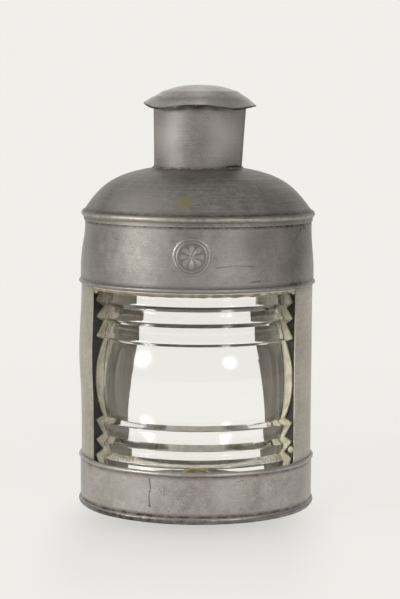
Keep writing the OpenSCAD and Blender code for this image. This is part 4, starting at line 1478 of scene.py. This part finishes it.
@dataclass
class RearDoor:
    """Curved rear door, standing open, with its iron hinges and catch."""

    body: TinBody
    swing: float = 94.0
    gap: float = 0.4
    clear: float = 1.0
    hem: float = 5.0
    knuckle_r: float = 2.6
    lap: float = 5.0
    # The panel's ripple: how far out, its length round and up, and the plain strip beside the hinge
    ripple_out: float = 0.35
    ripple_turn: float = 120.0
    ripple_rise: float = 140.0
    plain_turn: float = 12.0

    def panel(self) -> Solid:
        """Carries the door's outline, with folded hems, through its angle and swings it open about the hinge.

        Returns:
            The panel and the hem along its free edge.
        """
        body_r, sheet, door_mid = self.body.body_r, self.body.sheet, self.body.door_mid
        r0, r1, r2 = (body_r + self.gap + layers * sheet for layers in (0, 1, 2))
        z0, z1 = self.body.base_h + self.clear, self.body.z_upper - self.clear
        hem0, hem1 = z0 + self.hem, z1 - self.hem
        lap, room, hem_turn = (
            math.degrees(arc / body_r) for arc in (self.lap, self.knuckle_r + 2 * self.gap, self.hem))
        hinge_angle = door_mid - self.body.doorway_half - lap
        start, end = hinge_angle + room, door_mid + self.body.doorway_half + lap
        outline = np.array([
            [r0, z0], [r2, z0], [r2, hem0], [r1, hem0], [r1, hem1], [r2, hem1], [r2, z1], [r0, z1]])
        panel = turned(fine(outline, self.body.row_step), np.linspace(start, end, 70), full=False)
        r, angle, z = polar(panel.points)
        across = np.clip((angle - start - self.plain_turn) / (end - start - self.plain_turn), 0, 1)
        middle = np.sin(np.pi * across) * np.sin(np.pi * (z - z0) / (z1 - z0))
        uneven = self.ripple_out * ripple(angle / self.ripple_turn, z / self.ripple_rise, 61) * middle
        panel.points = from_polar(r + uneven, angle, z)
        edge = np.array([[r1, hem0], [r2, hem0], [r2, hem1], [r1, hem1]])
        fold = turned(edge, np.linspace(end - hem_turn, end, 5), full=False)
        door = Solid.joined([panel, fold]).shaded_and_worn(((hem0, 0.8, -0.6), (hem1, 0.8, -0.6)))
        axis = from_polar(r0 + self.knuckle_r, hinge_angle, 0.0)
        r, angle, z = polar(door.points - axis)
        door.points = from_polar(r, angle - self.swing, z) + axis
        return door

    def build(self, looks: Finishes) -> None:
        """Builds and dresses the door.

        Args:
            looks: the materials.
        """
        add_piece("tin_rear_door", self.panel(), looks.shell, Body.DOOR, "sheet_tin", ("door_panel",))
        dress(("body_hinge_leaves", "body_leaf_rivets", "hinge_pins", "catch_stud", "turn_catch",
               "door_hinge_leaves", "door_leaf_rivets"), looks.iron)
        dress(("door_knob",), looks.brass)


@dataclass
class OilLamp:
    """Lift-out oil lamp: tin font, brass burner and cotton wick."""

    font_r: float = 50.0
    font_z: float = 4.1
    font_h: float = 20.0
    foot_bevel: float = 0.6
    shoulder: float = 8.0
    neck_r: float = 13.0
    neck_h: float = 5.0
    sheet: float = 0.8
    collar_rim: float = 2.6
    collar_bevel: float = 0.4
    collar_play: float = 0.05
    play: float = 0.3
    brass: float = 0.8
    knurls: int = 44
    knurl_depth: float = 0.25

    @property
    def font_top(self) -> float:
        """Height of the font's shoulder where the neck begins."""
        return self.font_z + self.font_h

    def skin(self, depth: float) -> Array:
        """Gives the shoulder's curve, a quarter ellipse, a depth further in.

        Args:
            depth: distance inwards.
        Returns:
            Points (r, z) from the wall up to the neck.
        """
        t = np.linspace(0, np.pi / 2, 20)
        r = self.neck_r - depth + (self.font_r - self.neck_r) * np.cos(t)
        return np.stack([r, self.font_top - self.shoulder + (self.shoulder - depth) * np.sin(t)], axis=1)

    def font(self) -> Solid:
        """Turns the font: a drum with a rounded shoulder up to its neck, hollow inside.

        Returns:
            The font.
        """
        neck_top, floor = self.font_top + self.neck_h, self.font_z + self.sheet
        bevel = self.foot_bevel
        outline = np.concatenate([
            [[0, self.font_z], [self.font_r - bevel, self.font_z], [self.font_r, self.font_z + bevel]],
            self.skin(0.0),
            [[self.neck_r, neck_top], [self.neck_r - self.sheet, neck_top]],
            self.skin(self.sheet)[::-1],
            [[self.font_r - self.sheet, floor], [0, floor]],
        ])
        return turned(outline, ROUND[::2])

    def collar(self) -> Solid:
        """Turns the burner's collar with a knurled edge: r + depth (cos(n a) - 1) on its outer wall.

        Returns:
            The collar.
        """
        low, neck_top = self.font_top + self.play, self.font_top + self.neck_h
        high = neck_top + self.brass
        rim, bore = self.neck_r + self.collar_rim, self.neck_r + self.collar_play
        bevel = self.collar_bevel
        outline = np.array([
            [bore, low], [rim - bevel, low], [rim, low + bevel], [rim, high - bevel], [rim - bevel, high],
            [0, high], [0, neck_top], [bore, neck_top]])
        ring = turned(outline, np.linspace(0, 360, self.knurls * 8, endpoint=False))
        r, angle, z = polar(ring.points)
        cut = self.knurl_depth * (np.cos(np.radians(self.knurls * angle)) - 1)
        ring.points = from_polar(r + np.where(r > rim - 0.1, cut, 0), angle, z)
        return ring

    def build(self, looks: Finishes) -> None:
        """Builds and dresses the lamp.

        Args:
            looks: the materials.
        """
        add_piece("tin_oil_font", self.font(), looks.inside, Body.LAMP, "font_tin", ("oil_font",))
        add_piece("brass_collar", self.collar(), looks.brass, Body.LAMP, "burner_brass", ("burner_collar",))
        dress(("burner_gallery", "burner_cone", "wick_tube", "wick_shaft", "spur_wheels", "wick_knob"),
              looks.brass)
        dress(("wick",), looks.wick)


@dataclass
class Studio:
    """Pale floor, white surroundings, two soft boxes and the camera at the photograph's place."""

    distance: float = 1544.0
    azimuth: float = 2.6
    height: float = 334.0
    pitch: float = 6.145
    roll: float = 0.4
    focal_px: float = 1879.0
    frame_px: tuple[int, int] = (400, 599)
    axis_px: float = 197.0
    backdrop: str = "#F0EFEB"
    floor_code: str = "#E6E6E2"
    floor_r: float = 6000.0
    floor_grain: float = 2.0
    fade_from: float = 150.0
    fade_to: float = 900.0
    floor_glow: float = 0.9
    shadow_reach: float = 300.0
    shadow_lean: float = 70.0
    shadow_depth: float = 0.62
    shadow_from: float = 125.0
    shadow_full: float = 65.0
    # The room's light in front, where it begins to turn white behind, and what comes from one side and above
    room_front: float = 0.27
    room_turns: tuple[float, float] = (0.55, 0.95)
    room_aside: float = -0.1
    room_above: float = 0.35
    box_gain: float = 15.0
    box_away: float = 1400.0
    box_falloff: float = 4.0
    aim_z: float = 150.0
    # Azimuth, elevation, power and diameter in metres of each soft box
    boxes: tuple[tuple[float, ...], ...] = ((-57.0, 19.0, 10.0, 0.84), (38.0, 19.0, 4.5, 0.68))

    def camera(self) -> None:
        """Makes the camera, turned down by the pitch and aside until the axis falls on its pixel column."""
        data = bpy.data.cameras.new("photo_camera")
        data.sensor_width = 36.0
        data.lens = self.focal_px / max(self.frame_px) * data.sensor_width
        data.clip_start, data.clip_end = 0.01, 50.0
        camera = bpy.data.objects.new("photo_camera", data)
        a = math.radians(self.azimuth)
        place = (self.distance * MM * math.sin(a), -self.distance * MM * math.cos(a), self.height * MM)
        aside = math.atan((self.axis_px - self.frame_px[0] / 2) / self.focal_px)
        yaw = Matrix.Rotation(a + aside, 4, "Z")
        tilt = Matrix.Rotation(math.radians(90 - self.pitch), 4, "X")
        roll = Matrix.Rotation(math.radians(self.roll), 4, "Z")
        camera.matrix_world = Matrix.Translation(place) @ yaw @ tilt @ roll
        bpy.context.scene.collection.objects.link(camera)
        bpy.context.scene.camera = camera

    def shading(self, tree: Tree, place: Socket) -> Socket:
        """Finds how much of the backdrop's light the lantern keeps off the floor in front of it.

        That is how much less a leaning view sees behind than in front, in a core that runs forward.

        Args:
            tree: the floor's node tree.
            place: the socket with Object coordinates.
        Returns:
            The socket of the light that is left, 1 in the open.
        """
        lean = math.radians(self.shadow_lean)
        behind, ahead = (
            add_node(tree, "AmbientOcclusion", {
                "Distance": self.shadow_reach * MM,
                "Normal": add_node(tree, "CombineXYZ", {"Y": side * math.sin(lean), "Z": math.cos(lean)}),
            }, "AO", samples=16)
            for side in (1, -1))
        hidden = add_node(tree, "Math", {0: ahead, 1: behind}, operation="SUBTRACT", use_clamp=True)
        # The shadow is painted by place as well: it is kept to a core in front of the lantern by the distance
        # aside
        across = add_node(tree, "SeparateXYZ", {0: place}, "X")
        aside = add_node(tree, "Math", {0: across}, operation="ABSOLUTE")
        core = add_node(tree, "MapRange", {
            "Value": aside, "From Min": self.shadow_from * MM, "From Max": self.shadow_full * MM},
            interpolation_type="SMOOTHSTEP")
        shade = add_node(tree, "Math", {0: hidden, 1: core}, operation="MULTIPLY")
        return add_node(tree, "MapRange", {"Value": shade, "To Min": 1.0, "To Max": 1 - self.shadow_depth})

    def floor(self) -> None:
        """Makes a round floor: rings of radius R t, which fades out into the backdrop towards its rim.

        Matt white paper looks even and nearly without grain. Its glow stands for light from the backdrop, so
        the floor loses it where the lantern hides the backdrop.
        """
        rows, columns = 9, 96
        radii = self.floor_r * np.linspace(0, 1, rows)[:, None]
        angles = np.linspace(0, 360, columns, endpoint=False)[None, :]
        points = from_polar(radii, angles, np.array(0.0)).reshape(-1, 3)
        floor = plain_object("studio_floor", points, disc_quads(rows, columns).tolist())
        material, tree, place = new_material("matt white paper")
        away = add_node(tree, "VectorMath", {0: place}, "Value", operation="LENGTH")
        fade = add_node(tree, "MapRange", {
            "Value": away, "From Min": self.fade_from * MM, "From Max": self.fade_to * MM,
            "To Min": self.floor_glow}, interpolation_type="SMOOTHSTEP")
        grain = add_node(tree, "TexNoise", {"Vector": place, "Scale": per_metre(self.floor_grain)}, "Fac")
        bump = add_node(tree, "Bump", {"Height": grain, "Strength": 0.03, "Distance": 0.1 * MM})
        paper = add_node(tree, "BsdfDiffuse", {"Color": linear(self.floor_code), "Normal": bump})
        light = self.shading(tree, place)
        sweep = add_node(tree, "Emission", {"Color": linear(self.backdrop), "Strength": light})
        mix = add_node(tree, "MixShader", {0: fade, 1: paper, 2: sweep})
        add_node(tree, "OutputMaterial", {"Surface": mix})
        floor.data.materials.append(material)

    def world(self) -> None:
        """Sets the surroundings: a white backdrop where it is seen, and for light a room darker in front."""
        world = bpy.data.worlds.new("white_studio")
        bpy.context.scene.world = world
        world.use_nodes = True
        tree = world.node_tree
        tree.nodes.clear()
        path = add_node(tree, "LightPath").node.outputs
        rays = {0: path["Is Camera Ray"], 1: path["Is Transmission Ray"]}
        seen = add_node(tree, "Math", rays, operation="MAXIMUM")
        direction = add_node(tree, "TexCoord", out="Generated")
        parts = add_node(tree, "SeparateXYZ", {0: direction}).node.outputs
        start, end = self.room_turns
        level = add_node(tree, "MapRange", {
            "Value": parts["Y"], "From Min": start, "From Max": end,
            "To Min": self.room_front, "To Max": 1.0}, interpolation_type="SMOOTHSTEP")
        sided = add_node(
            tree, "Math", {0: parts["X"], 1: self.room_aside, 2: level}, operation="MULTIPLY_ADD")
        above = add_node(tree, "MapRange", {
            "Value": parts["Z"], "From Min": 0.0, "From Max": 1.0, "To Max": self.room_above})
        total = add_node(tree, "Math", {0: sided, 1: above}, operation="ADD")
        room = add_node(tree, "Background", {"Color": linear("#FFFFFF"), "Strength": total})
        white = add_node(tree, "Background", {"Color": linear(self.backdrop), "Strength": 1.0})
        mix = add_node(tree, "MixShader", {0: seen, 1: room, 2: white})
        add_node(tree, "OutputWorld", {"Surface": mix})

    def lamps(self) -> None:
        """Hangs the soft boxes round the camera, each turned to the lantern and brightest in its middle."""
        centre = np.array([0, 0, self.aim_z * MM])
        for number, (azimuth, elevation, power, size) in enumerate(self.boxes):
            a, e = math.radians(azimuth), math.radians(elevation)
            out = np.array([math.sin(a) * math.cos(e), -math.cos(a) * math.cos(e), math.sin(e)])
            data = bpy.data.lights.new("soft_box_%d" % number, "AREA")
            data.shape = "DISK"
            data.size = size
            data.energy = power * self.box_gain
            data.use_nodes = True
            tree = data.node_tree
            tree.nodes.clear()
            place = add_node(tree, "NewGeometry", out="Parametric")
            away = add_node(tree, "VectorMath", {0: place, 1: (0.5, 0.5, 0.0)}, "Value", operation="DISTANCE")
            inward = add_node(tree, "MapRange", {"Value": away, "From Min": 0.5, "From Max": 0.0})
            glow = add_node(tree, "Math", {0: inward, 1: self.box_falloff}, operation="POWER")
            white = add_node(tree, "Emission", {"Strength": glow})
            add_node(tree, "OutputLight", {"Surface": white})
            lamp = bpy.data.objects.new(data.name, data)
            lamp.location = centre + self.box_away * MM * out
            lamp.rotation_euler = (math.radians(90) - e, 0, a)
            bpy.context.scene.collection.objects.link(lamp)

    def build(self) -> None:
        """Sets up the whole studio."""
        self.camera()
        self.floor()
        self.world()
        self.lamps()
        bpy.context.scene.view_settings.view_transform = "Standard"


def main() -> None:
    """Builds the studio and the lantern's sub-assemblies in order."""
    logging.basicConfig(level=logging.INFO, format="%(name)s: %(message)s")
    Studio().build()
    looks = Finishes.made()
    body = TinBody()
    for part in (body, Roof(body), DrumLens(body), RearDoor(body), OilLamp()):
        part.build(looks)


if __name__ == "__main__":
    main()
